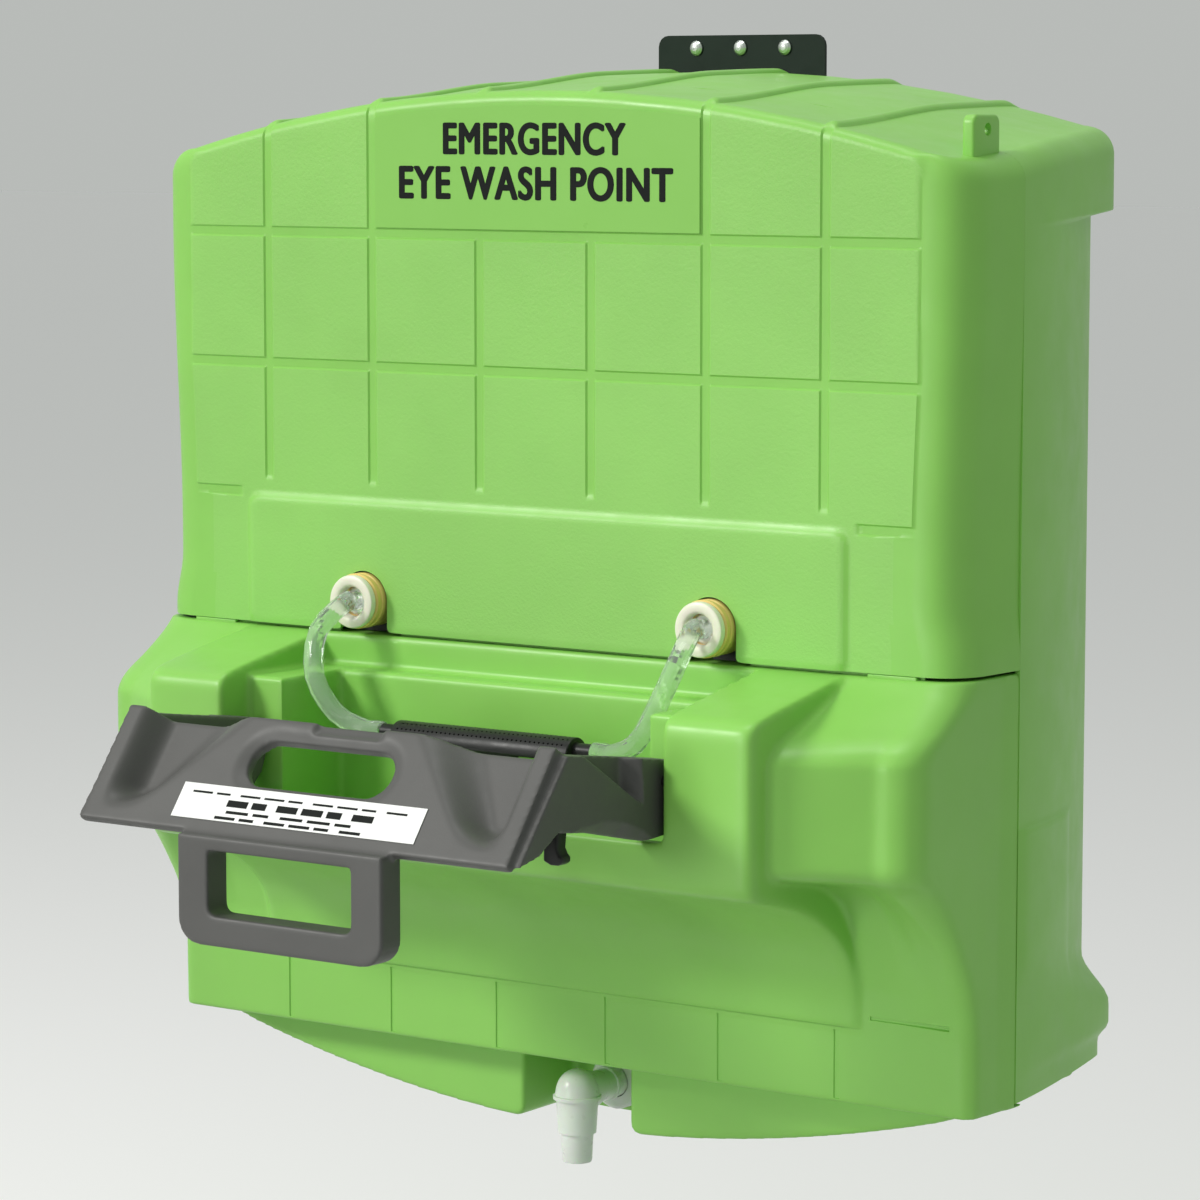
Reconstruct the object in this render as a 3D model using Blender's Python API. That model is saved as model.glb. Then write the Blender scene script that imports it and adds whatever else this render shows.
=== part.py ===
"""Wall-hung emergency eyewash station with a pull-down activation arm, in metres.

The wall is the plane Y = 0, the front faces -Y and +Z is up.
The origin is the centre of the wall bracket's back face.
"""
import math

import bmesh
import bpy
from mathutils import Matrix, Vector

# Housing
FRONT_Y = -0.280          # flat front face of the cover
SEAM_Y = -0.205           # vertical joint between the front mouldings and the rear shell
BACK_Y = -0.004           # back of the rear shell, just in front of the bracket plate
FRONT_HALF = 0.360        # half width at the front face
SEAM_HALF = 0.367         # half width at the seam, the widest place
CROWN_Z = 0.0065          # top of the front face in the middle
CROWN_RADIUS = 1.22       # radius of the arched top
COVER_BOTTOM = -0.4005
WALL = 0.004
CELL = 0.100              # pitch of the moulded lines on the front
LINE_TOP = -0.100         # height of the first horizontal line
CORNER = 0.032            # vertical front corner radius
LUG_X = 0.3425            # middle of the seal lug

# Lower body
DECK_Z = -0.403
BODY_BOTTOM = -0.716
PILLAR_IN = 0.197
PILLAR_OUT = 0.267
RIM_Z = -0.513            # front rim of the basin
BASIN_FLOOR = -0.535
BASIN_BACK = -0.283
LEDGE_FRONT = -0.3725      # front ends of the ledges beside the basin well
SUMP_HALF = 0.330
SUMP_FRONT = -0.227
NOTCH_HALF = 0.049

# Rear shell
SHELL_BOTTOM = -0.712

# Activation arm, drawn lowered
HINGE_Y = -0.3955
HINGE_Z = -0.4705
CREST = (-0.517, -0.432)
TOE = (-0.573, -0.505)
ARM_HALF = 0.190
PLATE_THICK = 0.008

# Saline ports
PORT_X = 0.157
PORT_Z = -0.377
TUBE_RADIUS = 0.0074

# Drain
DRAIN_Y = -0.2255
DRAIN_Z = -0.748

COLOURS = {
    "green_plastic": (0.30, 0.63, 0.15, 0.45),
    "grey_plastic": (0.115, 0.115, 0.11, 0.5),
    "black_plastic": (0.015, 0.015, 0.015, 0.45),
    "cream_plastic": (0.83, 0.80, 0.64, 0.4),
    "yellow_plastic": (0.82, 0.58, 0.17, 0.4),
    "milky_plastic": (0.72, 0.78, 0.70, 0.35),
    "clear_tube": (0.62, 0.80, 0.55, 0.12),
    "bracket_paint": (0.010, 0.020, 0.014, 0.4),
    "screw_steel": (0.55, 0.57, 0.55, 0.3),
    "white_label": (0.86, 0.86, 0.84, 0.4),
    "green_label": (0.31, 0.65, 0.16, 0.35),
}


def clear_scene():
    for obj in list(bpy.data.objects):
        bpy.data.objects.remove(obj, do_unlink=True)


def material(name):
    """The named Principled material, made on first use."""
    mat = bpy.data.materials.get(name)
    if mat is None:
        red, green, blue, rough = COLOURS[name]
        mat = bpy.data.materials.new(name)
        mat.use_nodes = True
        shader = mat.node_tree.nodes["Principled BSDF"]
        shader.inputs["Base Color"].default_value = (red, green, blue, 1.0)
        shader.inputs["Roughness"].default_value = rough
        shader.inputs["Metallic"].default_value = 1.0 if name == "screw_steel" else 0.0
        if name == "clear_tube":
            shader.inputs["Transmission Weight"].default_value = 0.9
        mat.diffuse_color = (red, green, blue, 1.0)
    return mat


def is_flat(face):
    start = face.verts[0].co
    return all(abs((v.co - start).dot(face.normal)) < 1e-7 for v in face.verts)


def add_mesh(name, verts, faces, mat, origin=(0, 0, 0)):
    """A mesh object from world points, with its origin moved to the given point."""
    base = Vector(origin)
    mesh = bpy.data.meshes.new(name)
    mesh.from_pydata([Vector(v) - base for v in verts], [], faces)
    bm = bmesh.new()
    bm.from_mesh(mesh)
    bmesh.ops.recalc_face_normals(bm, faces=bm.faces)
    bent = [face for face in bm.faces if len(face.verts) > 3 and not is_flat(face)]
    bmesh.ops.triangulate(bm, faces=bent)
    if bm.calc_volume(signed=True) < 0:
        bmesh.ops.reverse_faces(bm, faces=bm.faces)
    bm.to_mesh(mesh)
    bm.free()
    obj = bpy.data.objects.new(name, mesh)
    obj.location = base
    mesh.materials.append(material(mat))
    bpy.context.scene.collection.objects.link(obj)
    return obj


def combine(target, other, operation="DIFFERENCE"):
    """Applies one exact Boolean and removes the tool object."""
    bpy.context.view_layer.update()
    mod = target.modifiers.new("Boolean", "BOOLEAN")
    mod.operation = operation
    mod.solver = "EXACT"
    mod.object = other
    bpy.context.view_layer.update()
    graph = bpy.context.evaluated_depsgraph_get()
    mesh = bpy.data.meshes.new_from_object(target.evaluated_get(graph))
    bm = bmesh.new()
    bm.from_mesh(mesh)
    bmesh.ops.remove_doubles(bm, verts=bm.verts, dist=2e-6)
    bm.to_mesh(mesh)
    bm.free()
    target.modifiers.clear()
    slot = target.data.materials[0]
    target.data = mesh
    mesh.materials.clear()
    mesh.materials.append(slot)
    for poly in mesh.polygons:
        poly.material_index = 0
    bpy.data.objects.remove(other, do_unlink=True)
    return target


def loft(name, rings, mat, origin=(0, 0, 0)):
    """A closed solid through rings of equal length, with flat ends."""
    count = len(rings[0])
    verts = [point for ring in rings for point in ring]
    faces = [tuple(range(count))]
    for level in range(len(rings) - 1):
        low = level * count
        for i in range(count):
            j = (i + 1) % count
            faces.append((low + i, low + j, low + count + j, low + count + i))
    last = (len(rings) - 1) * count
    faces.append(tuple(range(last, last + count)))
    return add_mesh(name, verts, faces, mat, origin)


def box(name, xs, ys, zs, mat="green_plastic"):
    rings = [[(x, y, z) for x, y in ((xs[0], ys[0]), (xs[1], ys[0]), (xs[1], ys[1]), (xs[0], ys[1]))]
             for z in zs]
    return loft(name, rings, mat)


def extrude_x(name, profile, x0, x1, mat, origin=(0, 0, 0)):
    """A (Y, Z) profile drawn out between two X positions."""
    return loft(name, [[(x, y, z) for y, z in profile] for x in (x0, x1)], mat, origin)


def lathe(name, profile, centre, axis, mat, steps=28, origin=None):
    """Turns an (offset along axis, radius) profile round an axis through centre.

    A profile that begins and ends on the axis gives a solid, and any other gives a ring.
    """
    axis = Vector(axis).normalized()
    side = Vector((0, 0, 1)) if abs(axis.z) < 0.9 else Vector((1, 0, 0))
    u = axis.cross(side).normalized()
    v = axis.cross(u)
    centre = Vector(centre)
    verts = []
    faces = []
    index = []
    for along, radius in profile:
        if radius == 0:
            index.append([len(verts)] * steps)
            verts.append(centre + axis * along)
            continue
        index.append(list(range(len(verts), len(verts) + steps)))
        for k in range(steps):
            angle = 2 * math.pi * k / steps
            verts.append(centre + axis * along + u * radius * math.cos(angle) + v * radius * math.sin(angle))
    pairs = list(zip(index, index[1:]))
    if profile[0][1] != 0:
        pairs.append((index[-1], index[0]))
    for one, two in pairs:
        for k in range(steps):
            m = (k + 1) % steps
            corners = [one[k], one[m], two[m], two[k]]
            kept = [c for n, c in enumerate(corners) if c not in corners[:n]]
            faces.append(tuple(kept))
    return add_mesh(name, verts, faces, mat, origin or centre)


def smooth_step(low, high, value):
    t = min(1.0, max(0.0, (value - low) / (high - low)))
    return t * t * (3 - 2 * t)


def blend(table, value):
    """Straight-line reading of a short falling list of (height, amount) pairs."""
    if value >= table[0][0]:
        return table[0][1]
    for (z0, a0), (z1, a1) in zip(table, table[1:]):
        if value >= z1:
            return a0 + (a1 - a0) * (z0 - value) / (z0 - z1)
    return table[-1][1]


# ---------------------------------------------------------------- housing outline

def crown(x):
    return CROWN_Z - x * x / (2 * CROWN_RADIUS)


def roof_rise(y):
    """How much higher the roof lies at y than at the front face."""
    return 0.011 * smooth_step(0.0, 0.16, y - FRONT_Y) + 0.004 * smooth_step(0.08, 0.27, y - FRONT_Y)


def bead(x, y):
    """Raised rounded ribs that carry the vertical moulded lines over the roof."""
    nearest = CELL * (math.floor(x / CELL) + 0.5)
    if abs(nearest) > 0.26:
        return 0.0
    fade = smooth_step(0.003, 0.012, y - FRONT_Y) * smooth_step(-0.004, -0.030, y)
    return 0.0036 * max(0.0, 1 - (abs(x - nearest) / 0.0045) ** 2) ** 0.5 * fade


def roof_stations(half):
    """X positions from right to left along the roof, closer together at each rib."""
    stations = [half]
    for k in range(6):
        middle = CELL * (2.5 - k)
        for step in (0.0045, 0.0030, 0.0, -0.0030, -0.0045):
            stations.append(middle + step)
        if k < 5:
            stations.append(middle - CELL / 2)
    stations.append(-half)
    return stations


def outline(half_at, y, bottom, drop=0.0, inset=0.0, heights=(), ribs=True, corner=0.022):
    """One closed XZ section of the housing at depth y, from bottom left round to top left."""
    top_half = half_at(crown(0.34)) - inset - corner
    shoulder = crown(top_half) + roof_rise(y) - drop - corner * 0.92
    levels = [z for z in heights if bottom < z < shoulder - 0.004]
    right = [(half_at(z) - inset, z) for z in [bottom] + levels + [shoulder]]
    for degrees in (22, 45, 68):
        a = math.radians(degrees)
        right.append((top_half + corner * math.cos(a), shoulder + corner * 0.92 * math.sin(a)))
    roof = []
    for x in roof_stations(top_half):
        roof.append((x, crown(x) + roof_rise(y) - drop + (bead(x, y) if ribs else 0.0)))
    left = [(-x, z) for x, z in reversed(right)]
    ring = right + roof + left
    return [(x, y, z) for x, z in ring]


# ---------------------------------------------------------------- front cover

COVER_HEIGHTS = (-0.386, -0.372, -0.358, -0.335, -0.300, -0.240, -0.170, -0.090)


def cover_half(y):
    """Half width of the cover against height: bowed in above a flared bottom edge."""
    widest = FRONT_HALF + (SEAM_HALF - FRONT_HALF) * (y - FRONT_Y) / (SEAM_Y - FRONT_Y)

    def at(z):
        bow = 0.009 * smooth_step(-0.10, -0.33, z) * (1 - smooth_step(-0.352, -0.392, z))
        return widest - bow * (1 - 0.75 * smooth_step(FRONT_Y + 0.02, SEAM_Y, y))
    return at


def cover_rings(wall):
    """Sections from the seam to the front face, inset by wall for the hollow."""
    rings = []
    front = FRONT_Y + wall
    start = SEAM_Y + 0.010 if wall else SEAM_Y
    for turn in (None, 90, 72, 54, 38, 24, 12, 4):
        if turn is None:
            y, inset, drop = start, wall, wall
        else:
            a = math.radians(turn)
            y = front + CORNER * (1 - math.cos(a)) if turn else front
            inset = wall + CORNER * (1 - math.sin(a))
            depth = y - front
            small = 0.009
            drop = wall
            if depth < small:
                drop += small - math.sqrt(small ** 2 - (small - depth) ** 2)
        bottom = COVER_BOTTOM - (0.020 if wall else 0.0)
        rings.append(outline(cover_half(y), y, bottom, drop, inset, COVER_HEIGHTS, ribs=not wall))
    return rings


def groove_bar(name, start, end, face_y=FRONT_Y, width=0.0075, depth=0.0013):
    """A shallow tapered cutter along the front face between two (x, z) points."""
    (x0, z0), (x1, z1) = start, end
    along = Vector((x1 - x0, z1 - z0)).normalized()
    across = Vector((-along.y, along.x))
    rings = []
    for y, half in ((face_y - 0.003, width * 0.62), (face_y + depth, width * 0.30)):
        ring = []
        for (cx, cz), sign in ((start, -1), (end, 1)):
            for side in (sign, -sign):
                px = cx + across.x * half * side + along.x * half * sign * 0.4
                pz = cz + across.y * half * side + along.y * half * sign * 0.4
                ring.append((px, y, pz))
        rings.append(ring)
    return loft(name, rings, "green_plastic")


def join_meshes(name, objects):
    """One tool object from several that don't touch."""
    verts = []
    faces = []
    for obj in objects:
        base = len(verts)
        verts += [obj.matrix_world @ v.co for v in obj.data.vertices]
        faces += [tuple(base + i for i in p.vertices) for p in obj.data.polygons]
        bpy.data.objects.remove(obj, do_unlink=True)
    return add_mesh(name, verts, faces, "green_plastic")


def build_cover():
    cover = loft("front_cover", cover_rings(0.0), "green_plastic")
    panel = raised_panel()
    combine(cover, panel, "UNION")
    combine(cover, loft("hollow", cover_rings(WALL), "green_plastic"))
    combine(cover, join_meshes("uprights", upright_lines()))
    combine(cover, join_meshes("levels", level_lines()))
    for side in (-1, 1):
        combine(cover, port_notch(side))
    combine(cover, seal_lug(), "UNION")
    combine(cover, lathe("hole", [(-0.01, 0), (-0.01, 0.0046), (0.01, 0.0046), (0.01, 0)],
                         (LUG_X, -0.2235, -0.0215), (1, 0, 0), "green_plastic", 14))
    return cover


def raised_panel():
    """The proud lower panel of the cover, with rounded top corners."""
    half, top, radius = 0.273, -0.298, 0.012
    rings = []
    for y, inset in ((FRONT_Y + 0.002, 0.0), (FRONT_Y - 0.001, 0.0), (FRONT_Y - 0.0045, 0.004)):
        edge = half - inset
        ring = [(-edge, y, COVER_BOTTOM), (edge, y, COVER_BOTTOM)]
        for degrees in (0, 30, 60, 90):
            a = math.radians(degrees)
            ring.append((edge - radius + radius * math.cos(a), y, top - inset - radius + radius * math.sin(a)))
        for degrees in (90, 120, 150, 180):
            a = math.radians(degrees)
            ring.append((-edge + radius + radius * math.cos(a), y, top - inset - radius + radius * math.sin(a)))
        rings.append(ring)
    return loft("raised_panel", rings, "green_plastic")


def upright_lines():
    bars = []
    for k in range(6):
        x = CELL * (k - 2.5)
        top = LINE_TOP + 0.0005 if abs(x) < 0.1 else crown(x) - 0.006
        bars.append(groove_bar("bar", (x, top), (x, -0.289)))
    return bars


def level_lines():
    bars = [groove_bar("bar", (-0.330, LINE_TOP - CELL * k), (0.330, LINE_TOP - CELL * k)) for k in (0, 1)]
    for side in (-1, 1):
        bars.append(groove_bar("bar", (side * 0.330, LINE_TOP - 2 * CELL), (side * 0.296, LINE_TOP - 2 * CELL)))
    return bars


def port_notch(side):
    """Arched opening in the cover's bottom edge, round one saline port."""
    ring = [(side * PORT_X - 0.0222, COVER_BOTTOM - 0.02), (side * PORT_X + 0.0222, COVER_BOTTOM - 0.02)]
    for k in range(11):
        a = math.pi * k / 10
        ring.append((side * PORT_X + 0.0222 * math.cos(a), PORT_Z + 0.0222 * math.sin(a)))
    rings = [[(x, y, z) for x, z in ring] for y in (FRONT_Y - 0.02, FRONT_Y + 0.02)]
    return loft("notch", rings, "green_plastic")


def seal_lug():
    """Upright tab beside the seam, on the right top corner, that takes a tamper seal."""
    ring = [(-0.2430, -0.052), (-0.2060, -0.052), (-0.2060, -0.0165), (-0.2075, -0.0125), (-0.2115, -0.0110),
            (-0.2375, -0.0110), (-0.2415, -0.0125), (-0.2430, -0.0165)]
    return extrude_x("lug", ring, LUG_X - 0.0048, LUG_X + 0.0048, "green_plastic")


# ---------------------------------------------------------------- rear shell

SHELL_HEIGHTS = (-0.702, -0.690, -0.672, -0.655, -0.640, -0.618, -0.596, -0.560, -0.5165, -0.5135,
                 -0.40, -0.25, -0.110, -0.0915, -0.0885, -0.076)


def shell_half(y, wall=0.0):
    """Half width of the rear shell: a wide hood on top, a drawn-in side and a flared foot."""
    t = min(1.0, max(0.0, (y - SEAM_Y) / (BACK_Y - SEAM_Y)))
    side = SEAM_HALF - 0.054 * t ** 1.7
    hood = SEAM_HALF - 0.030 * t ** 1.5
    foot = SEAM_HALF - 0.0245 * t ** 1.5
    step = 0.0022 * smooth_step(0.0, 0.05, t) * (1 - smooth_step(0.48, 0.56, t))

    def at(z):
        edge = -0.090 + 0.008 * t
        width = side
        if z > edge:
            width = hood
        if z < -0.515:
            width = side + step
        foot_top = -0.600 - 0.040 * t
        if z < foot_top:
            width = side + step + (foot - side - step) * smooth_step(foot_top, foot_top - 0.035, z)
        if wall:
            return side - wall
        if z < -0.690:
            width -= 0.010 * t
        return width
    return at


def shell_rings(wall):
    rings = []
    if wall:
        stations = [(SEAM_Y - 0.010, 0), (-0.17, 0), (-0.13, 0), (-0.09, 0), (-0.05, 0), (-0.022, 0.003),
                    (BACK_Y - wall, 0.012)]
    else:
        stations = [(SEAM_Y + 0.0005, 0), (-0.185, 0), (-0.155, 0), (-0.120, 0), (-0.085, 0), (-0.055, 0),
                    (-0.034, 0.0), (-0.020, 0.0035), (-0.010, 0.0095), (BACK_Y, 0.020)]
    for y, inset in stations:
        bottom = SHELL_BOTTOM + (wall + 0.001 if wall else 0.3 * inset)
        drop = wall + (0.6 * inset if wall else 0.25 * inset)
        rings.append(outline(shell_half(y, wall), y, bottom, drop, inset, SHELL_HEIGHTS, ribs=not wall))
    return rings


def build_rear_shell():
    shell = loft("rear_shell", shell_rings(0.0), "green_plastic")
    combine(shell, loft("hollow", shell_rings(WALL), "green_plastic"))
    combine(shell, box("hook_slot", (-0.0525, 0.0525), (-0.020, 0.01), (-0.068, -0.0397)))
    return shell


# ---------------------------------------------------------------- lower body

WING_TOP = ((-0.403, 0.0), (-0.410, 0.10), (-0.420, 0.30), (-0.431, 0.56), (-0.440, 0.80), (-0.447, 0.93),
            (-0.456, 1.0), (-0.526, 1.0))
WING_INNER = WING_TOP + ((-0.532, 0.97), (-0.537, 0.88), (-0.541, 0.68), (-0.546, 0.46), (-0.552, 0.34),
                         (-0.559, 0.25), (-0.569, 0.175), (-0.580, 0.12), (-0.605, 0.045), (-0.630, 0.0))
WING_OUTER = WING_TOP + ((-0.537, 0.94), (-0.548, 0.78), (-0.562, 0.58), (-0.578, 0.40), (-0.595, 0.26),
                         (-0.618, 0.12), (-0.645, 0.03), (-0.670, 0.0))
PILLAR = ((-0.403, 0.280), (-0.4115, 0.330), (-0.420, 0.378), (-0.4245, 0.397), (-0.430, 0.4035),
          (-0.437, 0.405), (-0.541, 0.405), (-0.547, 0.402), (-0.550, 0.394), (-0.556, 0.368),
          (-0.566, 0.336), (-0.579, 0.310), (-0.593, 0.290), (-0.608, 0.276), (-0.628, 0.266),
          (-0.645, 0.2625), (-0.6588, 0.2620), (-0.6612, 0.2580))


def body_levels():
    """Every height at which the lower body's section changes."""
    found = {z for z, _ in WING_INNER} | {z for z, _ in WING_OUTER} | {z for z, _ in PILLAR}
    found |= {-0.480, -0.505, BODY_BOTTOM + 0.004, BODY_BOTTOM, -0.690}
    levels = []
    for z in sorted(found, reverse=True):
        if not levels or levels[-1] - z > 0.0022 or z == BODY_BOTTOM:
            levels.append(z)
    return levels


def wing_front(x, z):
    """Distance of the front surface from the wall beside the pillars."""
    base = 0.280 - 0.022 * smooth_step(-0.46, -0.63, z)
    reach = 0.385 - 0.052 * max(0.0, (x - 0.27) / 0.09)
    outward = smooth_step(0.300, 0.350, x)
    rise = blend(WING_INNER, z) * (1 - outward) + blend(WING_OUTER, z) * outward
    return base + rise * (reach - base)


def body_ring(z):
    """One horizontal section of the lower body, going round from the seam on the right."""
    half = 0.3635 - 0.0015 * smooth_step(-0.45, -0.60, z)
    radius = 0.024
    shrink = 0.003 if z <= BODY_BOTTOM else 0.0
    right = [(SEAM_HALF - 0.0005 - shrink, SEAM_Y - 0.0005), (half + 0.001 - shrink, -0.225)]
    edge = wing_front(half - radius, z)
    for degrees in (0, 22, 45, 68):
        a = math.radians(degrees)
        right.append((half - shrink - radius + radius * math.cos(a), -(edge - radius + radius * math.sin(a))))
    for x in (half - radius - 0.003, 0.312, 0.290, PILLAR_OUT + 0.0045):
        right.append((x, -wing_front(x, z) + shrink))
    front = blend(PILLAR, z)
    for x in (PILLAR_OUT, PILLAR_OUT - 0.004, PILLAR_IN, 0.10):
        soften = 0.0015 if x == PILLAR_OUT and z < -0.41 else 0.0
        right.append((x, -front + soften + shrink))
    ring = right + [(0.0, -front + shrink)] + [(-x, y) for x, y in reversed(right)]
    return [(x, y, z) for x, y in ring]


def sump_block():
    """The two-lobed belly under the body, deepest beside the drain notch."""
    rings = []
    for y, inset in ((SUMP_FRONT, 0.003), (SUMP_FRONT + 0.003, 0.0), (-0.060, 0.0), (-0.050, 0.006)):
        half = SUMP_HALF - inset
        ring = [(half, y, BODY_BOTTOM - 0.008), (half - 0.001, y, BODY_BOTTOM + 0.002),
                (-half + 0.001, y, BODY_BOTTOM + 0.002), (-half, y, BODY_BOTTOM - 0.008)]
        for k in range(1, 16):
            x = -half + 2 * half * k / 16
            ring.append((x, y, sump_bottom(x) + inset))
        rings.append(ring)
    return loft("sump", rings, "green_plastic")


def sump_bottom(x):
    return -0.7745 + 0.0495 * (abs(x) / SUMP_HALF) ** 1.9


def build_lower_body():
    body = loft("lower_body", [body_ring(z) for z in body_levels()], "green_plastic")
    combine(body, sump_block(), "UNION")
    combine(body, box("notch", (-NOTCH_HALF, NOTCH_HALF), (-0.26, -0.160), (-0.80, BODY_BOTTOM - 0.0005)))
    cut_basin(body)
    cut_body_hollows(body)
    lines = []
    for k in range(6):
        x = CELL * (k - 2.5)
        lines.append(groove_bar("bar", (x, -0.667), (x, -0.7135), -0.258, 0.006, 0.0010))
    for side in (-1, 1):
        lines.append(groove_bar("bar", (side * 0.290, -0.6515), (side * 0.328, -0.6515), -0.258, 0.006, 0.0010))
    combine(body, join_meshes("lines", lines))
    for side in (-1, 1):
        combine(body, box("tab", (side * 0.306 - 0.020, side * 0.306 + 0.020), (-0.2790, -0.2690),
                          (DECK_Z - 0.002, COVER_BOTTOM - 0.0003)), "UNION")
        combine(body, lathe("bore", [(-0.0125, 0), (-0.0125, 0.0046), (0.0125, 0.0046), (0.0125, 0)],
                            (side * PILLAR_IN, HINGE_Y, HINGE_Z), (1, 0, 0), "green_plastic", 16))
    return body


def cut_basin(body):
    """Basin well with a ledge on three sides, and the open mouth over the front rim."""
    combine(body, box("mouth", (-PILLAR_IN, PILLAR_IN), (-0.430, -0.3925), (RIM_Z, -0.39)))
    combine(body, box("upper", (-PILLAR_IN, PILLAR_IN), (-0.3930, BASIN_BACK), (-0.428, -0.39)))
    ring = [(-0.165, -0.302), (0.165, -0.302), (0.165, LEDGE_FRONT), (PILLAR_IN - 0.0002, LEDGE_FRONT),
            (PILLAR_IN - 0.0002, -0.3928), (-PILLAR_IN + 0.0002, -0.3928), (-PILLAR_IN + 0.0002, LEDGE_FRONT),
            (-0.165, LEDGE_FRONT)]
    well = loft("well", [[(x, y, z) for x, y in ring] for z in (BASIN_FLOOR, -0.420)], "green_plastic")
    combine(body, well)


def cut_body_hollows(body):
    """The moulding is hollow behind the basin and inside each wing."""
    combine(body, box("upper_hollow", (-0.345, 0.345), (-0.2765, -0.19), (-0.531, DECK_Z - 0.005)))
    combine(body, box("lower_hollow", (-0.344, 0.344), (-0.2525, -0.19), (-0.711, -0.530)))
    for side in (-1, 1):
        xs = sorted((side * 0.276, side * 0.344))
        combine(body, box("wing_hollow", xs, (-0.318, -0.27), (-0.528, -0.458)))
        xs = sorted((side * (NOTCH_HALF + 0.005), side * 0.290))
        combine(body, box("sump_hollow", xs, (-0.200, -0.060), (-0.735, -0.700)))


# ---------------------------------------------------------------- activation arm

def arm_point(x, u, lift):
    """A point u down the sloping face from its crest, raised by lift along the face's normal."""
    length = math.hypot(TOE[0] - CREST[0], TOE[1] - CREST[1])
    dy, dz = (TOE[0] - CREST[0]) / length, (TOE[1] - CREST[1]) / length
    return (x, CREST[0] + dy * u + dz * lift, CREST[1] + dz * u - dy * lift)


def scoop(x, u):
    """Depth of the two channels that clear the ports when the arm is shut."""
    across = smooth_step(0.107, 0.127, abs(x)) * (1 - smooth_step(0.163, 0.181, abs(x)))
    return -0.019 * across * (1 - smooth_step(0.050, 0.084, u))


def arm_plate():
    """The sloping front plate as a grid of columns with the scoops pressed in."""
    xs = [0.0, 0.040, 0.070, 0.107, 0.112, 0.1175, 0.123, 0.130, 0.145, 0.160, 0.1665, 0.172, 0.178, 0.184,
          ARM_HALF]
    xs = [-x for x in reversed(xs[1:])] + xs
    us = [0.0, 0.004, 0.016, 0.034, 0.050, 0.059, 0.067, 0.075, 0.084, 0.090, 0.094]
    rows = []
    for u in us:
        edge = 0.0020 if u in (us[0], us[-1]) else 0.0
        rows.append([arm_point(x, u, scoop(x, u) - edge) for x in xs])
    under = [[arm_point(x, u, scoop(x, u) - PLATE_THICK) for x in xs] for u in us]
    return grid_solid("activation_arm", rows, under, "grey_plastic")


def grid_solid(name, top, under, mat):
    """A closed slab between two grids of points of the same size."""
    height, width = len(top), len(top[0])
    verts = [p for row in top for p in row] + [p for row in under for p in row]
    shift = height * width
    faces = []
    for i in range(height - 1):
        for j in range(width - 1):
            a = i * width + j
            faces.append((a, a + 1, a + width + 1, a + width))
            faces.append((shift + a, shift + a + width, shift + a + width + 1, shift + a + 1))
    rim = [j for j in range(width)] + [i * width + width - 1 for i in range(1, height)]
    rim += [(height - 1) * width + j for j in range(width - 2, -1, -1)]
    rim += [i * width for i in range(height - 2, 0, -1)]
    for a, b in zip(rim, rim[1:] + rim[:1]):
        faces.append((a, b, shift + b, shift + a))
    return add_mesh(name, verts, faces, mat)


def arm_web(side):
    """Side cheek from the plate back to the hinge, with a sloping pocket in its outer face."""
    profile = [(-0.5690, -0.5080), (-0.5450, -0.5030), (-0.5220, -0.4900), (-0.4800, -0.4960),
               (-0.4150, -0.5105), (-0.3960, -0.5085), (-0.3840, -0.4980), (-0.3780, -0.4830),
               (-0.3795, -0.4700), (-0.3900, -0.4560), (-0.5120, -0.4385)]
    web = loft("web", [[(side * x, y, z) for y, z in profile] for x in (0.1745, 0.1935)], "grey_plastic")
    deep = [(-0.4990, -0.4340), (-0.4310, -0.4440), (-0.4300, -0.4530)]
    wide = [(-0.5080, -0.4320), (-0.4265, -0.4400), (-0.4200, -0.4880)]
    rings = [[(side * 0.1835, y, z) for y, z in deep], [(side * 0.1965, y, z) for y, z in wide]]
    return combine(web, loft("pocket", rings, "grey_plastic"))


def arm_handle():
    """Pull handle: a rectangular loop hanging from the lower edge of the plate."""
    loop = []
    for half, top, bottom in ((0.0895, -0.508, -0.585), (0.0630, -0.5180, -0.5640)):
        r = 0.012 if half > 0.07 else 0.006
        loop.append([(-half, top), (-half, bottom + r), (-half + r * 0.3, bottom + r * 0.3), (-half + r, bottom),
                     (half - r, bottom), (half - r * 0.3, bottom + r * 0.3), (half, bottom + r), (half, top)])
    front, back = -0.5830, -0.5600
    rings = []
    for y, grow in ((back, 0.004), (back - 0.004, 0.0), (front + 0.005, 0.0), (front, 0.005)):
        rings.append([(x * (1 - grow / 0.0895), y, z + grow * (1 if z < -0.54 else 0)) for x, z in loop[0]])
    handle = loft("handle", rings, "grey_plastic")
    hole = [[(x, y, z) for x, z in loop[1]] for y in (-0.60, -0.54)]
    return combine(handle, loft("opening", hole, "grey_plastic"))


def hand_slot():
    ring = []
    for centre, start in ((0.049, -90), (-0.049, 90)):
        for k in range(7):
            a = math.radians(start + 30 * k)
            ring.append((centre + 0.0185 * math.cos(a), 0.0375 + 0.0185 * math.sin(a)))
    return loft("slot", [[arm_point(x, u, lift) for x, u in ring] for lift in (-0.03, 0.02)], "grey_plastic")


def build_arm():
    arm = arm_plate()
    for side in (-1, 1):
        combine(arm, arm_web(side), "UNION")
    combine(arm, arm_handle(), "UNION")
    combine(arm, hand_slot())
    for side in (-1, 1):
        combine(arm, lathe("bore", [(-0.02, 0), (-0.02, 0.0046), (0.02, 0.0046), (0.02, 0)],
                           (side * 0.184, HINGE_Y, HINGE_Z), (1, 0, 0), "grey_plastic", 16))
    place_origin(arm, (0, HINGE_Y, HINGE_Z))
    return arm


def place_origin(obj, point):
    """Moves an object's origin without moving its shape."""
    shift = Vector(point) - obj.location
    obj.data.transform(Matrix.Translation(-shift))
    obj.location = point


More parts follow.
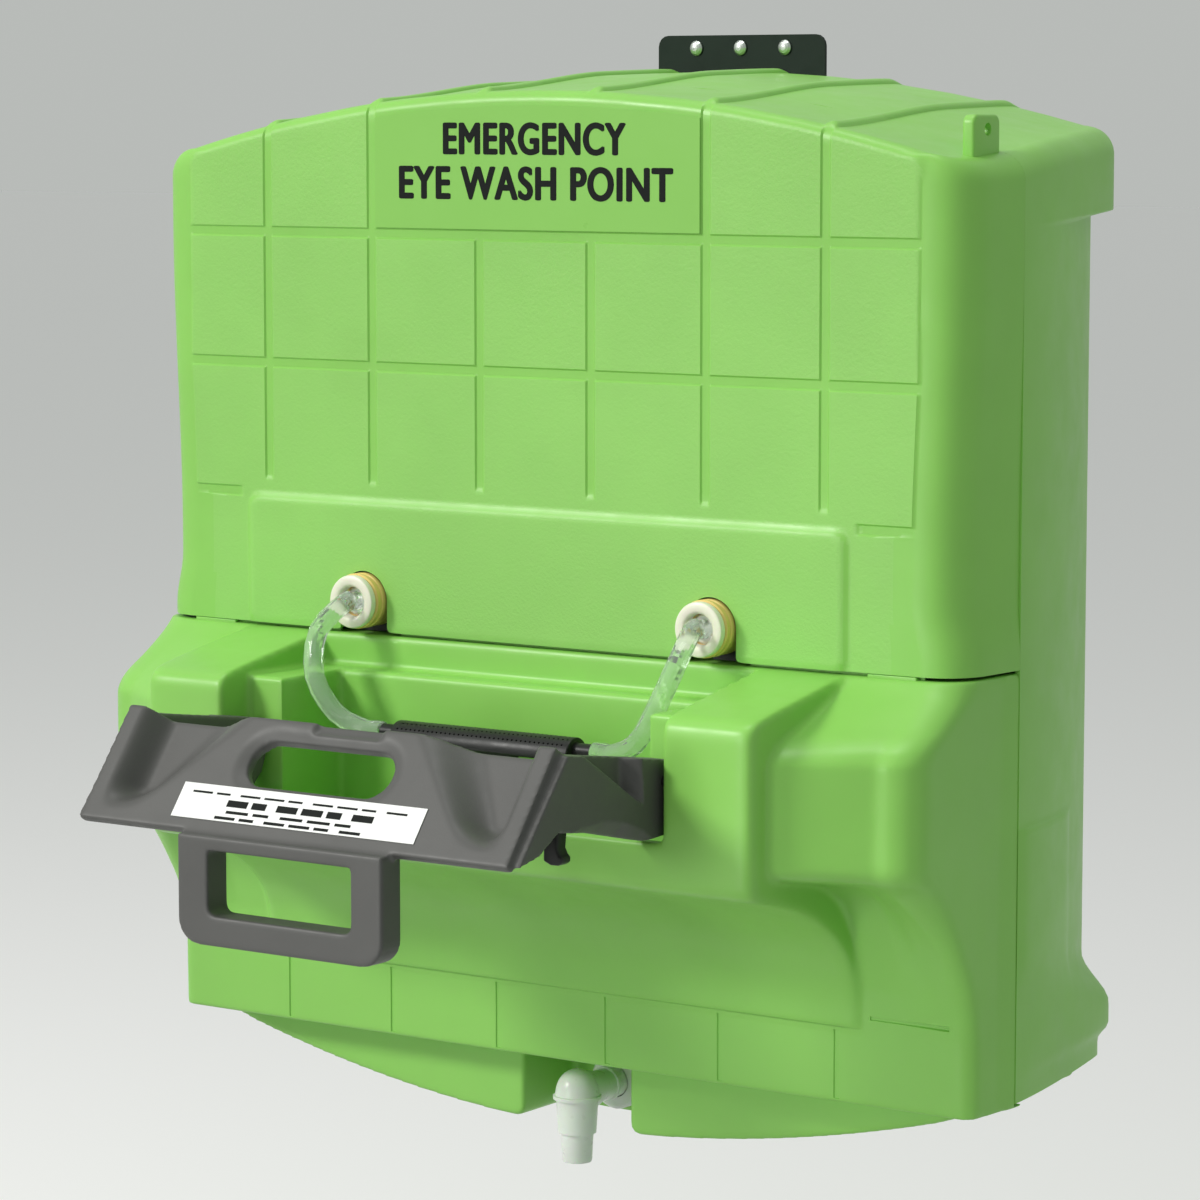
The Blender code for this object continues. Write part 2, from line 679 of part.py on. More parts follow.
def build_hinge_pins():
    for side, word in ((-1, "left"), (1, "right")):
        profile = [(-0.0105, 0), (-0.0105, 0.0034), (-0.0095, 0.0042), (0.0110, 0.0042), (0.0110, 0)]
        lathe("hinge_pin_" + word, profile, (side * 0.1965, HINGE_Y, HINGE_Z), (side, 0, 0), "black_plastic", 16)


def build_barbs():
    """Barbed fastener of each activation strap, under the cheek of the arm."""
    for side, word in ((-1, "left"), (1, "right")):
        ring = [(-0.5040, -0.4930), (-0.5040, -0.5080), (-0.5085, -0.5120), (-0.5040, -0.5190),
                (-0.4940, -0.5190), (-0.4895, -0.5120), (-0.4940, -0.5080), (-0.4940, -0.4944)]
        x0, x1 = side * 0.1770, side * 0.1890
        extrude_x("strap_barb_" + word, ring, min(x0, x1), max(x0, x1), "black_plastic",
                  (side * 0.183, -0.499, -0.505))


# ---------------------------------------------------------------- ports, tubes and nozzle

def build_ports():
    for side, word in ((-1, "left"), (1, "right")):
        at = (side * PORT_X, 0.0, PORT_Z)
        axis = (0, -1, 0)
        lathe("port_collar_" + word, [(0.2662, 0.0127), (0.2662, 0.0190), (0.2680, 0.0206), (0.2735, 0.0206),
                                      (0.2750, 0.0198), (0.2765, 0.0206), (0.2815, 0.0206), (0.2832, 0.0194),
                                      (0.2832, 0.0127)], at, axis, "yellow_plastic", 32)
        lathe("port_cap_" + word, [(0.2836, 0.0118), (0.2836, 0.0192), (0.2848, 0.0202), (0.2922, 0.0202),
                                   (0.2935, 0.0190), (0.2935, 0.0138), (0.2925, 0.0118)], at, axis,
              "cream_plastic", 32)
        lathe("port_plug_" + word, [(0.2700, 0), (0.2700, 0.0112), (0.2895, 0.0112), (0.2910, 0.0095),
                                    (0.2910, 0)], at, axis, "milky_plastic", 24)
        clamp = box("port_clamp_" + word, sorted((side * 0.1480, side * 0.1835)), (-0.2655, -0.2585),
                    (-0.4020, -0.3905), "black_plastic")
        place_origin(clamp, (side * PORT_X, -0.262, -0.396))


def tube_route(side):
    """Smooth route of a supply tube from its port down to the nozzle bar."""
    knots = [Vector(p) for p in ((PORT_X, -0.2916, PORT_Z), (PORT_X, -0.2980, PORT_Z), (PORT_X, -0.3060, PORT_Z),
                                 (PORT_X + 0.005, -0.332, -0.396), (PORT_X - 0.003, -0.347, -0.428),
                                 (0.135, -0.345, -0.455), (0.112, -0.340, -0.4655), (0.104, -0.340, -0.4655),
                                 (0.0956, -0.340, -0.4655))]
    points = []
    for k in range(len(knots) - 1):
        p0 = knots[max(0, k - 1)]
        p1, p2 = knots[k], knots[k + 1]
        p3 = knots[min(len(knots) - 1, k + 2)]
        for step in range(3):
            t = step / 3
            points.append(0.5 * (2 * p1 + (p2 - p0) * t + (2 * p0 - 5 * p1 + 4 * p2 - p3) * t * t
                                 + (3 * p1 - p0 - 3 * p2 + p3) * t ** 3))
    points.append(knots[-1])
    return [(side * p.x, p.y, p.z) for p in points]


def tube_solid(name, points, radius, mat, sides=14):
    """A round tube along points, with flat ends and no twist."""
    points = [Vector(p) for p in points]
    rings = []
    normal = None
    for k, point in enumerate(points):
        ahead = points[min(k + 1, len(points) - 1)] - points[max(k - 1, 0)]
        ahead.normalize()
        if normal is None:
            normal = ahead.cross(Vector((1, 0, 0))).normalized()
        normal = (normal - ahead * normal.dot(ahead)).normalized()
        other = ahead.cross(normal)
        rings.append([point + radius * (normal * math.cos(2 * math.pi * j / sides)
                                        + other * math.sin(2 * math.pi * j / sides)) for j in range(sides)])
    return loft(name, rings, mat, tuple(points[0]))


def build_tubes():
    for side, word in ((-1, "left"), (1, "right")):
        tube_solid("supply_tube_" + word, tube_route(side), TUBE_RADIUS, "clear_tube")


def build_nozzle():
    """Half-round spray bar across the basin, with a spigot at each end."""
    ring = [(-0.3530, -0.4720), (-0.3270, -0.4720)]
    for k in range(9):
        a = math.radians(20 * k + 10)
        ring.append((-0.340 + 0.0138 * math.cos(a), -0.4700 + 0.0140 * math.sin(a)))
    bar = extrude_x("nozzle_bar", ring, -0.080, 0.080, "black_plastic", (0, -0.340, -0.465))
    for side in (-1, 1):
        combine(bar, lathe("spigot", [(0.0780, 0), (0.0780, 0.0058), (0.0945, 0.0058), (0.0945, 0)],
                           (0, -0.340, -0.4655), (side, 0, 0), "black_plastic", 16), "UNION")
    ring = [(-0.3490, -0.5345), (-0.3310, -0.5345), (-0.3310, -0.5300), (-0.3350, -0.5270), (-0.3350, -0.4722),
            (-0.3450, -0.4722), (-0.3450, -0.5270), (-0.3490, -0.5300)]
    extrude_x("nozzle_post", ring, -0.025, 0.025, "black_plastic", (0, -0.340, -0.53))


# ---------------------------------------------------------------- inside, drain, bracket, labels

def build_cartridges():
    """Sealed saline containers standing side by side behind the cover."""
    for side, word in ((-1, "left"), (1, "right")):
        rings = []
        for z, inset in ((-0.3922, 0.010), (-0.384, 0.002), (-0.370, 0.0), (-0.10, 0.0), (-0.075, 0.004),
                         (-0.062, 0.020)):
            x0, x1, y0, y1 = 0.010 + inset, 0.300 - inset, -0.256 + inset * 0.6, -0.045 - inset
            c = 0.016
            plan = [(x0 + c, y0), (x1 - c, y0), (x1, y0 + c), (x1, y1 - c), (x1 - c, y1), (x0 + c, y1),
                    (x0, y1 - c), (x0, y0 + c)]
            rings.append([(side * x, y, z) for x, y in plan])
        tank = loft("saline_cartridge_" + word, rings, "milky_plastic")
        combine(tank, lathe("neck", [(0.250, 0), (0.250, 0.0120), (0.2694, 0.0120), (0.2694, 0)],
                            (side * PORT_X, 0, PORT_Z + 0.0), (0, -1, 0), "milky_plastic", 20), "UNION")
    plan = [(-0.355, -0.2000), (0.355, -0.2000), (0.347, -0.120), (0.327, -0.060), (0.300, -0.0135),
            (-0.300, -0.0135), (-0.327, -0.060), (-0.347, -0.120)]
    loft("cartridge_shelf", [[(x, y, z) for x, y in plan] for z in (-0.3995, -0.3926)], "green_plastic")


def build_drain():
    """Swivelling drain elbow and the bulkhead nut it turns in."""
    top = (0, DRAIN_Y, DRAIN_Z)
    dome = [(0.0195 * math.sin(math.radians(a)), 0.0175 * math.cos(math.radians(a))) for a in (72, 50, 28, 8)]
    profile = [(0.0200, 0)] + dome + [(0.0, 0.0178), (-0.0020, 0.0192), (-0.0045, 0.0192), (-0.0052, 0.0160),
                                      (-0.0300, 0.0150), (-0.0310, 0.0125), (-0.0525, 0.0113), (-0.0525, 0)]
    elbow = lathe("drain_elbow", profile, top, (0, 0, 1), "milky_plastic", 28)
    inlet = [(0.004, 0), (0.004, 0.0122), (0.0360, 0.0122), (0.0365, 0.0135), (0.0390, 0.0135),
             (0.0395, 0.0118), (0.0645, 0.0118), (0.0645, 0)]
    combine(elbow, lathe("inlet", inlet, top, (0, 1, 0), "milky_plastic", 24), "UNION")
    combine(elbow, lathe("bore", [(-0.0560, 0), (-0.0560, 0.0085), (0.0045, 0.0085), (0.0045, 0)], top,
                         (0, 0, 1), "milky_plastic", 20))
    combine(elbow, lathe("bore", [(-0.0030, 0), (-0.0030, 0.0078), (0.0700, 0.0078), (0.0700, 0)], top,
                         (0, 1, 0), "milky_plastic", 18))
    place_origin(elbow, top)
    lathe("drain_nut", [(-0.1760, 0.0126), (-0.1760, 0.0200), (-0.1740, 0.0220), (-0.1604, 0.0220),
                        (-0.1604, 0.0126)], (0, 0, DRAIN_Z), (0, 1, 0), "milky_plastic", 6 * 4)


def build_bracket():
    """Screwed wall plate with a hook that enters the slot in the rear shell."""
    half, top, bottom, r = 0.077, 0.050, -0.050, 0.009
    ring = [(-half, bottom), (half, bottom)]
    for k in range(5):
        a = math.radians(22.5 * k)
        ring.append((half - r + r * math.cos(a), top - r + r * math.sin(a)))
    for k in range(5):
        a = math.radians(90 + 22.5 * k)
        ring.append((-half + r + r * math.cos(a), top - r + r * math.sin(a)))
    plate = loft("wall_bracket", [[(x, y, z) for x, z in ring] for y in (0.0, -0.003)], "bracket_paint")
    hook = [(-0.0020, -0.0430), (-0.0145, -0.0430), (-0.0145, -0.0240), (-0.0120, -0.0240), (-0.0120, -0.0400),
            (-0.0020, -0.0400)]
    combine(plate, extrude_x("hook", hook, -0.050, 0.050, "bracket_paint"), "UNION")
    for k in range(3):
        x = 0.041 * (k - 1)
        combine(plate, lathe("hole", [(-0.01, 0), (-0.01, 0.0030), (0.01, 0.0030), (0.01, 0)], (x, 0, 0.040),
                             (0, 1, 0), "bracket_paint", 14))
        profile = [(0.0002, 0), (0.0002, 0.0024), (0.0033, 0.0024), (0.0033, 0.0060), (0.0044, 0.0058),
                   (0.0058, 0.0044), (0.0066, 0.0024), (0.0068, 0)]
        lathe("bracket_screw_%d" % (k + 1), profile, (x, 0, 0.040), (0, -1, 0), "screw_steel", 16)


def build_labels():
    """Sign panel on the cover and the service label on the arm."""
    half = 0.1455
    ring = [(-half, -0.0955), (half, -0.0955)]
    for k in range(9):
        x = half - 2 * half * k / 8
        ring.append((x, crown(x) - 0.0115))
    loft("sign_panel", [[(x, y, z) for x, z in ring] for y in (FRONT_Y - 0.0003, FRONT_Y - 0.0008)],
         "green_label", (0, FRONT_Y, -0.05))
    corners = ((-0.1065, 0.0575), (0.1065, 0.0575), (0.1065, 0.0850), (-0.1065, 0.0850))
    loft("arm_label", [[arm_point(x, u, lift) for x, u in corners] for lift in (0.0003, 0.0007)],
         "white_label", arm_point(0, 0.073, 0))


def main():
    clear_scene()
    build_bracket()
    build_rear_shell()
    build_cover()
    build_lower_body()
    build_cartridges()
    build_ports()
    build_tubes()
    build_nozzle()
    build_arm()
    build_hinge_pins()
    build_barbs()
    build_drain()
    build_labels()


main()
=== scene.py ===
"""Wall-hung emergency eyewash station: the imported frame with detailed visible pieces, in metres."""
import math
import bmesh
import bpy
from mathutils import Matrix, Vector


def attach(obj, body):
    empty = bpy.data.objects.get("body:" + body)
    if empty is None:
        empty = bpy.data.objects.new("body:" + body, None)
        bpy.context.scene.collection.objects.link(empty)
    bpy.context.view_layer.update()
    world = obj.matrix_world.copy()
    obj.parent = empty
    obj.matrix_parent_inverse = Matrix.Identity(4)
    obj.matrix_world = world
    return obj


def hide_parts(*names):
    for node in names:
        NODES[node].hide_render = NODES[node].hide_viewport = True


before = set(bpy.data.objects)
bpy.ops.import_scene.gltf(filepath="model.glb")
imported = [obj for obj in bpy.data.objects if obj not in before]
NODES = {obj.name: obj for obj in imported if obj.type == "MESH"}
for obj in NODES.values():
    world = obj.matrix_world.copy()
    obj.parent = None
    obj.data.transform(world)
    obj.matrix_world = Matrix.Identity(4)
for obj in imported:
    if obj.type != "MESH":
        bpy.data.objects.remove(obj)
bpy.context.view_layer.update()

# Housing sizes, as in the CAD part
FRONT_Y = -0.280
SEAM_Y = -0.205
BACK_Y = -0.004
FRONT_HALF = 0.360
SEAM_HALF = 0.367
CROWN_Z = 0.0065
CROWN_RADIUS = 1.22
COVER_BOTTOM = -0.4005
WALL = 0.004
CELL = 0.100
LINE_TOP = -0.100
CORNER = 0.032
LUG_X = 0.3425
DECK_Z = -0.403
BODY_BOTTOM = -0.716
PILLAR_IN = 0.197
RIM_Z = -0.513
BASIN_FLOOR = -0.535
BASIN_BACK = -0.283
LEDGE_FRONT = -0.3725
SUMP_HALF = 0.330
SUMP_FRONT = -0.227
NOTCH_HALF = 0.049
SHELL_BOTTOM = -0.712
HINGE_Y = -0.3955
HINGE_Z = -0.4705
CREST = (-0.517, -0.432)
TOE = (-0.573, -0.505)
PLATE_THICK = 0.008
LABEL_LIFT = 0.0008
SLOT = (0.0445, 0.0345, 0.0182)   # hand slot: half its straight length, its place down the face, its radius
PORT_X = 0.157
PORT_Z = -0.377
BAND_Y = -0.258           # the grooves under the apron start here
DRAIN_Y = -0.2255
DRAIN_Z = -0.748
NOZZLE_Y = -0.340
NOZZLE_Z = -0.4700
PIN_HOLE = 0.0046       # radius of the holes for the hinge pins
ROOF_CORNER = 0.022       # width of the corner arc between side and roof
ROOF_SQUASH = 0.92        # its height as a share of its width
ROOF_EDGE = 0.009         # radius of the cover's front edge under the roof
STRETCH_FROM = 0.29       # columns outside this X move with the side
BEAD_HALF = 0.0047
BEAD_RISE = 0.0034
NOTCH_RADIUS = 0.0222
FLOOR_Z = -1.05
FLOOR_HALF = 40
SIDES = ((-1, "left"), (1, "right"))


# ---------------------------------------------------------------- materials

def new_material(name, color, rough):
    """New material, its tree and its shader."""
    mat = bpy.data.materials.new(name)
    mat.use_nodes = True
    shader = mat.node_tree.nodes["Principled BSDF"]
    shader.inputs["Base Color"].default_value = (*color, 1.0)
    shader.inputs["Roughness"].default_value = rough
    return mat, mat.node_tree, shader


def add_noise(tree, scale, detail=3.0):
    """Noise in object space."""
    coords = tree.nodes.new("ShaderNodeTexCoord")
    noise = tree.nodes.new("ShaderNodeTexNoise")
    noise.inputs["Scale"].default_value = scale
    noise.inputs["Detail"].default_value = detail
    noise.inputs["Roughness"].default_value = 0.55
    tree.links.new(coords.outputs["Object"], noise.inputs["Vector"])
    return noise.outputs["Fac"]


def ramp(tree, value, stops):
    """Colour ramp over a value, with (position, colour) stops."""
    node = tree.nodes.new("ShaderNodeValToRGB")
    elements = node.color_ramp.elements
    while len(elements) < len(stops):
        elements.new(0.5)
    for element, (place, color) in zip(elements, stops):
        element.position = place
        element.color = (*color, 1.0)
    tree.links.new(value, node.inputs["Fac"])
    return node.outputs["Color"]


def map_range(tree, value, low, high):
    """Spreads the middle of a noise over a range."""
    node = tree.nodes.new("ShaderNodeMapRange")
    node.inputs["From Min"].default_value = 0.3
    node.inputs["From Max"].default_value = 0.7
    node.inputs["To Min"].default_value = low
    node.inputs["To Max"].default_value = high
    tree.links.new(value, node.inputs["Value"])
    return node.outputs["Result"]


def add_bump(tree, shader, height, distance, under=None):
    """Bump on top of an earlier normal, if there is one."""
    node = tree.nodes.new("ShaderNodeBump")
    node.inputs["Strength"].default_value = 1.0
    node.inputs["Distance"].default_value = distance
    tree.links.new(height, node.inputs["Height"])
    if under is not None:
        tree.links.new(under, node.inputs["Normal"])
    tree.links.new(node.outputs["Normal"], shader.inputs["Normal"])
    return node.outputs["Normal"]


def plastic(name, color, rough, shift=0.06, cloud=9.0, grain=900.0, grain_depth=0.00004, spread=0.05,
            subsurface=0.0, wave=0.0, specular=0.5):
    """Moulded plastic: faint cloudy colour, uneven gloss and a fine grain."""
    mat, tree, shader = new_material(name, color, rough)
    shader.inputs["Specular IOR Level"].default_value = specular
    low = tuple(c * (1 - shift) for c in color)
    high = tuple(min(1.0, c * (1 + shift)) for c in color)
    tree.links.new(ramp(tree, add_noise(tree, cloud, 4.0), ((0.3, low), (0.7, high))),
                   shader.inputs["Base Color"])
    tree.links.new(map_range(tree, add_noise(tree, cloud * 5, 5.0), rough - spread, rough + spread),
                   shader.inputs["Roughness"])
    normal = add_bump(tree, shader, add_noise(tree, grain, 2.0), grain_depth)
    if wave:
        add_bump(tree, shader, add_noise(tree, 14.0, 1.5), wave, normal)
    if subsurface:
        shader.inputs["Subsurface Weight"].default_value = subsurface
        shader.inputs["Subsurface Radius"].default_value = (0.4, 1.0, 0.3)
        shader.inputs["Subsurface Scale"].default_value = 0.006
    return mat


GREEN = (0.262, 0.600, 0.106)
MATS = {
    "green": plastic("moulded_green", GREEN, 0.40, shift=0.045, cloud=7.0, grain=700.0, grain_depth=0.00003,
                     subsurface=0.12, wave=0.0012),
    "green_tile": plastic("stippled_green", (0.282, 0.610, 0.128), 0.46, shift=0.05, cloud=7.0, grain=420.0,
                          grain_depth=0.00022, subsurface=0.12),
    "green_film": plastic("sign_film", (0.262, 0.590, 0.112), 0.30, shift=0.02, cloud=5.0, grain=1200.0,
                          grain_depth=0.00001, spread=0.03),
    "grey": plastic("moulded_grey", (0.080, 0.079, 0.076), 0.50, shift=0.07, cloud=12.0, grain=800.0,
                    grain_depth=0.00006, wave=0.00015),
    "black": plastic("moulded_black", (0.016, 0.017, 0.016), 0.38, shift=0.10, cloud=20.0,
                     grain_depth=0.00003, specular=0.28),
    "cream": plastic("cream_cap", (0.84, 0.82, 0.68), 0.36, shift=0.03, cloud=30.0, grain_depth=0.00002,
                     spread=0.04, subsurface=0.15),
    "yellow": plastic("yellow_collar", (0.83, 0.60, 0.20), 0.38, shift=0.05, cloud=30.0, grain_depth=0.00002,
                      spread=0.04, subsurface=0.10),
    "milky": plastic("natural_plastic", (0.78, 0.83, 0.76), 0.30, shift=0.03, cloud=30.0, grain_depth=0.00002,
                     spread=0.04, subsurface=0.35),
    "paint": plastic("powder_coat", (0.010, 0.020, 0.014), 0.42, shift=0.12, cloud=30.0, grain=1500.0,
                     grain_depth=0.00005, specular=0.16),
    "white": plastic("label_white", (0.86, 0.87, 0.85), 0.35, shift=0.015, cloud=20.0, grain=1500.0,
                     grain_depth=0.00001, spread=0.03),
    "ink": plastic("label_ink", (0.012, 0.014, 0.013), 0.45, shift=0.10, cloud=60.0, grain=1500.0,
                   grain_depth=0.00001, spread=0.04, specular=0.08),
}


def metal(name, color, rough):
    """Plated metal with uneven gloss."""
    mat, tree, shader = new_material(name, color, rough)
    shader.inputs["Metallic"].default_value = 1.0
    tree.links.new(map_range(tree, add_noise(tree, 160.0, 5.0), rough - 0.08, rough + 0.10),
                   shader.inputs["Roughness"])
    add_bump(tree, shader, add_noise(tree, 600.0, 3.0), 0.00003)
    return mat


def clear_plastic(name):
    """Clear, slightly green hose."""
    mat, tree, shader = new_material(name, (0.88, 0.96, 0.88), 0.08)
    shader.inputs["Transmission Weight"].default_value = 0.84
    shader.inputs["IOR"].default_value = 1.33
    tree.links.new(map_range(tree, add_noise(tree, 60.0, 4.0), 0.03, 0.12), shader.inputs["Roughness"])
    return mat


MATS["steel"] = metal("zinc_screw", (0.60, 0.64, 0.60), 0.32)
MATS["clear"] = clear_plastic("clear_hose")


# ---------------------------------------------------------------- mesh helpers

def add_mesh(name, verts, faces, mat, closed=True):
    """Object from points and faces; closed ones face outward."""
    mesh = bpy.data.meshes.new(name)
    mesh.from_pydata([Vector(v) for v in verts], [], faces)
    bm = bmesh.new()
    bm.from_mesh(mesh)
    bmesh.ops.remove_doubles(bm, verts=bm.verts, dist=1e-6)
    bmesh.ops.recalc_face_normals(bm, faces=bm.faces)
    if closed and bm.calc_volume(signed=True) < 0:
        bmesh.ops.reverse_faces(bm, faces=bm.faces)
    bm.to_mesh(mesh)
    bm.free()
    obj = bpy.data.objects.new(name, mesh)
    mesh.materials.append(MATS[mat])
    bpy.context.scene.collection.objects.link(obj)
    return obj


def baked(obj):
    """Applies every modifier of an object to its mesh."""
    bpy.context.view_layer.update()
    graph = bpy.context.evaluated_depsgraph_get()
    mesh = bpy.data.meshes.new_from_object(obj.evaluated_get(graph))
    obj.modifiers.clear()
    old = obj.data
    obj.data = mesh
    bpy.data.meshes.remove(old)
    return obj


def combine(target, other, operation="DIFFERENCE"):
    """Boolean of two solids that uses the second one up."""
    mod = target.modifiers.new("Boolean", "BOOLEAN")
    mod.operation = operation
    mod.solver = "EXACT"
    mod.object = other
    baked(target)
    bpy.data.objects.remove(other, do_unlink=True)
    return target


def soften(obj, voxel, rounds, ratio):
    """Remeshes a solid finely, rounds its edges and keeps a share of the faces."""
    mod = obj.modifiers.new("Remesh", "REMESH")
    mod.mode = "VOXEL"
    mod.voxel_size = voxel
    mod.use_smooth_shade = True
    smooth = obj.modifiers.new("Smooth", "SMOOTH")
    smooth.factor = 0.5
    smooth.iterations = rounds
    fewer = obj.modifiers.new("Decimate", "DECIMATE")
    fewer.ratio = ratio
    return baked(obj)


def shade(obj, degrees):
    """Smooth shading, with edges sharper than the angle left crisp."""
    bm = bmesh.new()
    bm.from_mesh(obj.data)
    for face in bm.faces:
        face.smooth = True
    limit = math.radians(degrees)
    for edge in bm.edges:
        edge.smooth = not (len(edge.link_faces) == 2 and edge.calc_face_angle(0.0) > limit)
    bm.to_mesh(obj.data)
    bm.free()
    return obj


def bevelled(obj, width, segments=3):
    """Rounds every sharp edge."""
    mod = obj.modifiers.new("Bevel", "BEVEL")
    mod.width = width
    mod.segments = segments
    mod.limit_method = "ANGLE"
    mod.angle_limit = math.radians(35)
    return baked(obj)


def loft(name, rings, mat):
    """Solid through rings of equally many points."""
    count = len(rings[0])
    verts = [point for ring in rings for point in ring]
    faces = [tuple(range(count))]
    for level in range(len(rings) - 1):
        low = level * count
        for i in range(count):
            j = (i + 1) % count
            faces.append((low + i, low + j, low + count + j, low + count + i))
    last = (len(rings) - 1) * count
    faces.append(tuple(range(last, last + count)))
    return add_mesh(name, verts, faces, mat)


def box(name, xs, ys, zs):
    """Plain block between two values on each axis."""
    rings = [[(x, y, z) for x, y in ((xs[0], ys[0]), (xs[1], ys[0]), (xs[1], ys[1]), (xs[0], ys[1]))]
             for z in zs]
    return loft(name, rings, "green")


def extrude_x(name, profile, x0, x1, mat):
    """Solid from a (y, z) outline, drawn out along X."""
    return loft(name, [[(x, y, z) for y, z in profile] for x in (x0, x1)], mat)


def lathe(name, profile, centre, axis, mat, steps=64):
    """Turns an (offset along axis, radius) profile round an axis through centre."""
    axis = Vector(axis).normalized()
    side = Vector((0, 0, 1)) if abs(axis.z) < 0.9 else Vector((1, 0, 0))
    u = axis.cross(side).normalized()
    v = axis.cross(u)
    centre = Vector(centre)
    verts = []
    faces = []
    index = []
    for along, radius in profile:
        if radius == 0:
            index.append([len(verts)] * steps)
            verts.append(centre + axis * along)
            continue
        index.append(list(range(len(verts), len(verts) + steps)))
        for k in range(steps):
            angle = 2 * math.pi * k / steps
            verts.append(centre + axis * along + u * radius * math.cos(angle) + v * radius * math.sin(angle))
    pairs = list(zip(index, index[1:]))
    if profile[0][1] != 0:
        pairs.append((index[-1], index[0]))
    for one, two in pairs:
        for k in range(steps):
            m = (k + 1) % steps
            corners = [one[k], one[m], two[m], two[k]]
            faces.append(tuple(c for n, c in enumerate(corners) if c not in corners[:n]))
    return add_mesh(name, verts, faces, mat)


def join(name, objects, mat):
    """One object from several."""
    verts = []
    faces = []
    for obj in objects:
        base = len(verts)
        verts += [v.co.copy() for v in obj.data.vertices]
        faces += [tuple(base + i for i in p.vertices) for p in obj.data.polygons]
        bpy.data.objects.remove(obj, do_unlink=True)
    return add_mesh(name, verts, faces, mat)


def smooth_step(low, high, value):
    """Eases from 0 at low to 1 at high; low may be the larger."""
    t = min(1.0, max(0.0, (value - low) / (high - low)))
    return t * t * (3 - 2 * t)


def curve_through(table, value):
    """Smooth monotone reading of a falling list of (height, amount) pairs."""
    if value >= table[0][0]:
        return table[0][1]
    if value <= table[-1][0]:
        return table[-1][1]
    slopes = [(b[1] - a[1]) / (b[0] - a[0]) for a, b in zip(table, table[1:])]
    for k, ((z0, a0), (z1, a1)) in enumerate(zip(table, table[1:])):
        if value >= z1:
            before = slopes[k - 1] if k else slopes[k]
            after = slopes[k + 1] if k + 1 < len(slopes) else slopes[k]
            m0 = 0.0 if before * slopes[k] <= 0 else 2 * before * slopes[k] / (before + slopes[k])
            m1 = 0.0 if after * slopes[k] <= 0 else 2 * after * slopes[k] / (after + slopes[k])
            h = z1 - z0
            t = (value - z0) / h
            return ((2 * t ** 3 - 3 * t ** 2 + 1) * a0 + (t ** 3 - 2 * t ** 2 + t) * h * m0
                    + (-2 * t ** 3 + 3 * t ** 2) * a1 + (t ** 3 - t ** 2) * h * m1)
    return table[-1][1]


def keep(piece, body, slot, *nodes, angle=35):
    """Shades a piece, fixes it to its body and hides the CAD nodes it stands for; its finish argument, slot,
    is not used.
    """
    shade(piece, angle)
    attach(piece, body)
    if nodes:
        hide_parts(*nodes)
    return piece


# ---------------------------------------------------------------- camera, light and floor

def build_camera():
    """The photograph's viewpoint."""
    camera_data = bpy.data.cameras.new("camera")
    camera = bpy.data.objects.new("camera", camera_data)
    camera.location = (1.8547, -2.8678, -0.0092)
    camera.rotation_euler = (math.radians(83.583), 0.0, math.radians(34.76))
    camera_data.lens = 130.32
    camera_data.sensor_width = 36.0
    camera_data.clip_end = 200.0
    bpy.context.scene.collection.objects.link(camera)
    bpy.context.scene.camera = camera


def build_floor():
    """Wide matt floor, which throws no diffuse light back on the object."""
    half = FLOOR_HALF
    floor = add_mesh("floor", [(-half, -half, FLOOR_Z), (half, -half, FLOOR_Z), (half, half, FLOOR_Z),
                               (-half, half, FLOOR_Z)], [(0, 1, 2, 3)], "white", closed=False)
    floor.data.materials[0] = new_material("floor_paint", (0.911, 0.897, 0.909), 0.9)[0]
    floor.visible_diffuse = False


def build_world():
    """Soft sky that darkens to one side and towards the horizon."""
    world = bpy.data.worlds.new("world")
    world.use_nodes = True
    tree = world.node_tree
    background = tree.nodes["Background"]
    background.inputs["Strength"].default_value = 0.70
    coordinates = tree.nodes.new("ShaderNodeTexCoord")
    split = tree.nodes.new("ShaderNodeSeparateXYZ")
    tree.links.new(coordinates.outputs["Generated"], split.inputs[0])
    mix = tree.nodes.new("ShaderNodeMix")
    mix.data_type = "RGBA"
    mix.blend_type = "MULTIPLY"
    mix.inputs["Factor"].default_value = 1.0
    across = ramp(tree, split.outputs["X"], ((0.05, (0.80, 0.83, 0.80)), (0.75, (0.62, 0.68, 0.62))))
    upward = ramp(tree, split.outputs["Z"], ((0.04, (0.86, 0.86, 0.86)), (0.25, (1.0, 1.0, 1.0))))
    tree.links.new(across, mix.inputs["A"])
    tree.links.new(upward, mix.inputs["B"])
    tree.links.new(mix.outputs["Result"], background.inputs["Color"])
    bpy.context.scene.world = world
    bpy.context.scene.view_settings.view_transform = "Standard"


def add_light(lamp, place, target, power, color):
    """Puts a lamp in the scene, aimed at a target."""
    lamp.energy = power
    lamp.color = color
    light = bpy.data.objects.new(lamp.name, lamp)
    light.location = place
    light.rotation_euler = (Vector(target) - Vector(place)).to_track_quat("-Z", "Y").to_euler()
    bpy.context.scene.collection.objects.link(light)


def build_lights():
    """Disk key and top lights, and a soft spot that brings up the apron."""
    for name, place, target, size, power, color in (
            ("key", (-2.3, -3.6, 1.9), (0, -0.2, -0.35), 1.1, 124.0, (1.0, 0.99, 0.96)),
            ("top", (-0.2, -0.5, 2.7), (0, -0.25, -0.3), 1.2, 21.0, (1.0, 1.0, 0.99))):
        lamp = bpy.data.lights.new(name, "AREA")
        lamp.shape = "DISK"
        lamp.size = size
        add_light(lamp, place, target, power, color)
    spot = bpy.data.lights.new("front", "SPOT")
    spot.spot_size = math.radians(19.0)
    spot.spot_blend = 1.0
    spot.shadow_soft_size = 0.4
    add_light(spot, (-0.6, -3.4, -0.3), (0.28, -0.35, -0.62), 120.0, (1.0, 1.0, 0.98))


# ---------------------------------------------------------------- front cover

def crown(x):
    """Z of the roof's arch at a place across."""
    return CROWN_Z - x * x / (2 * CROWN_RADIUS)


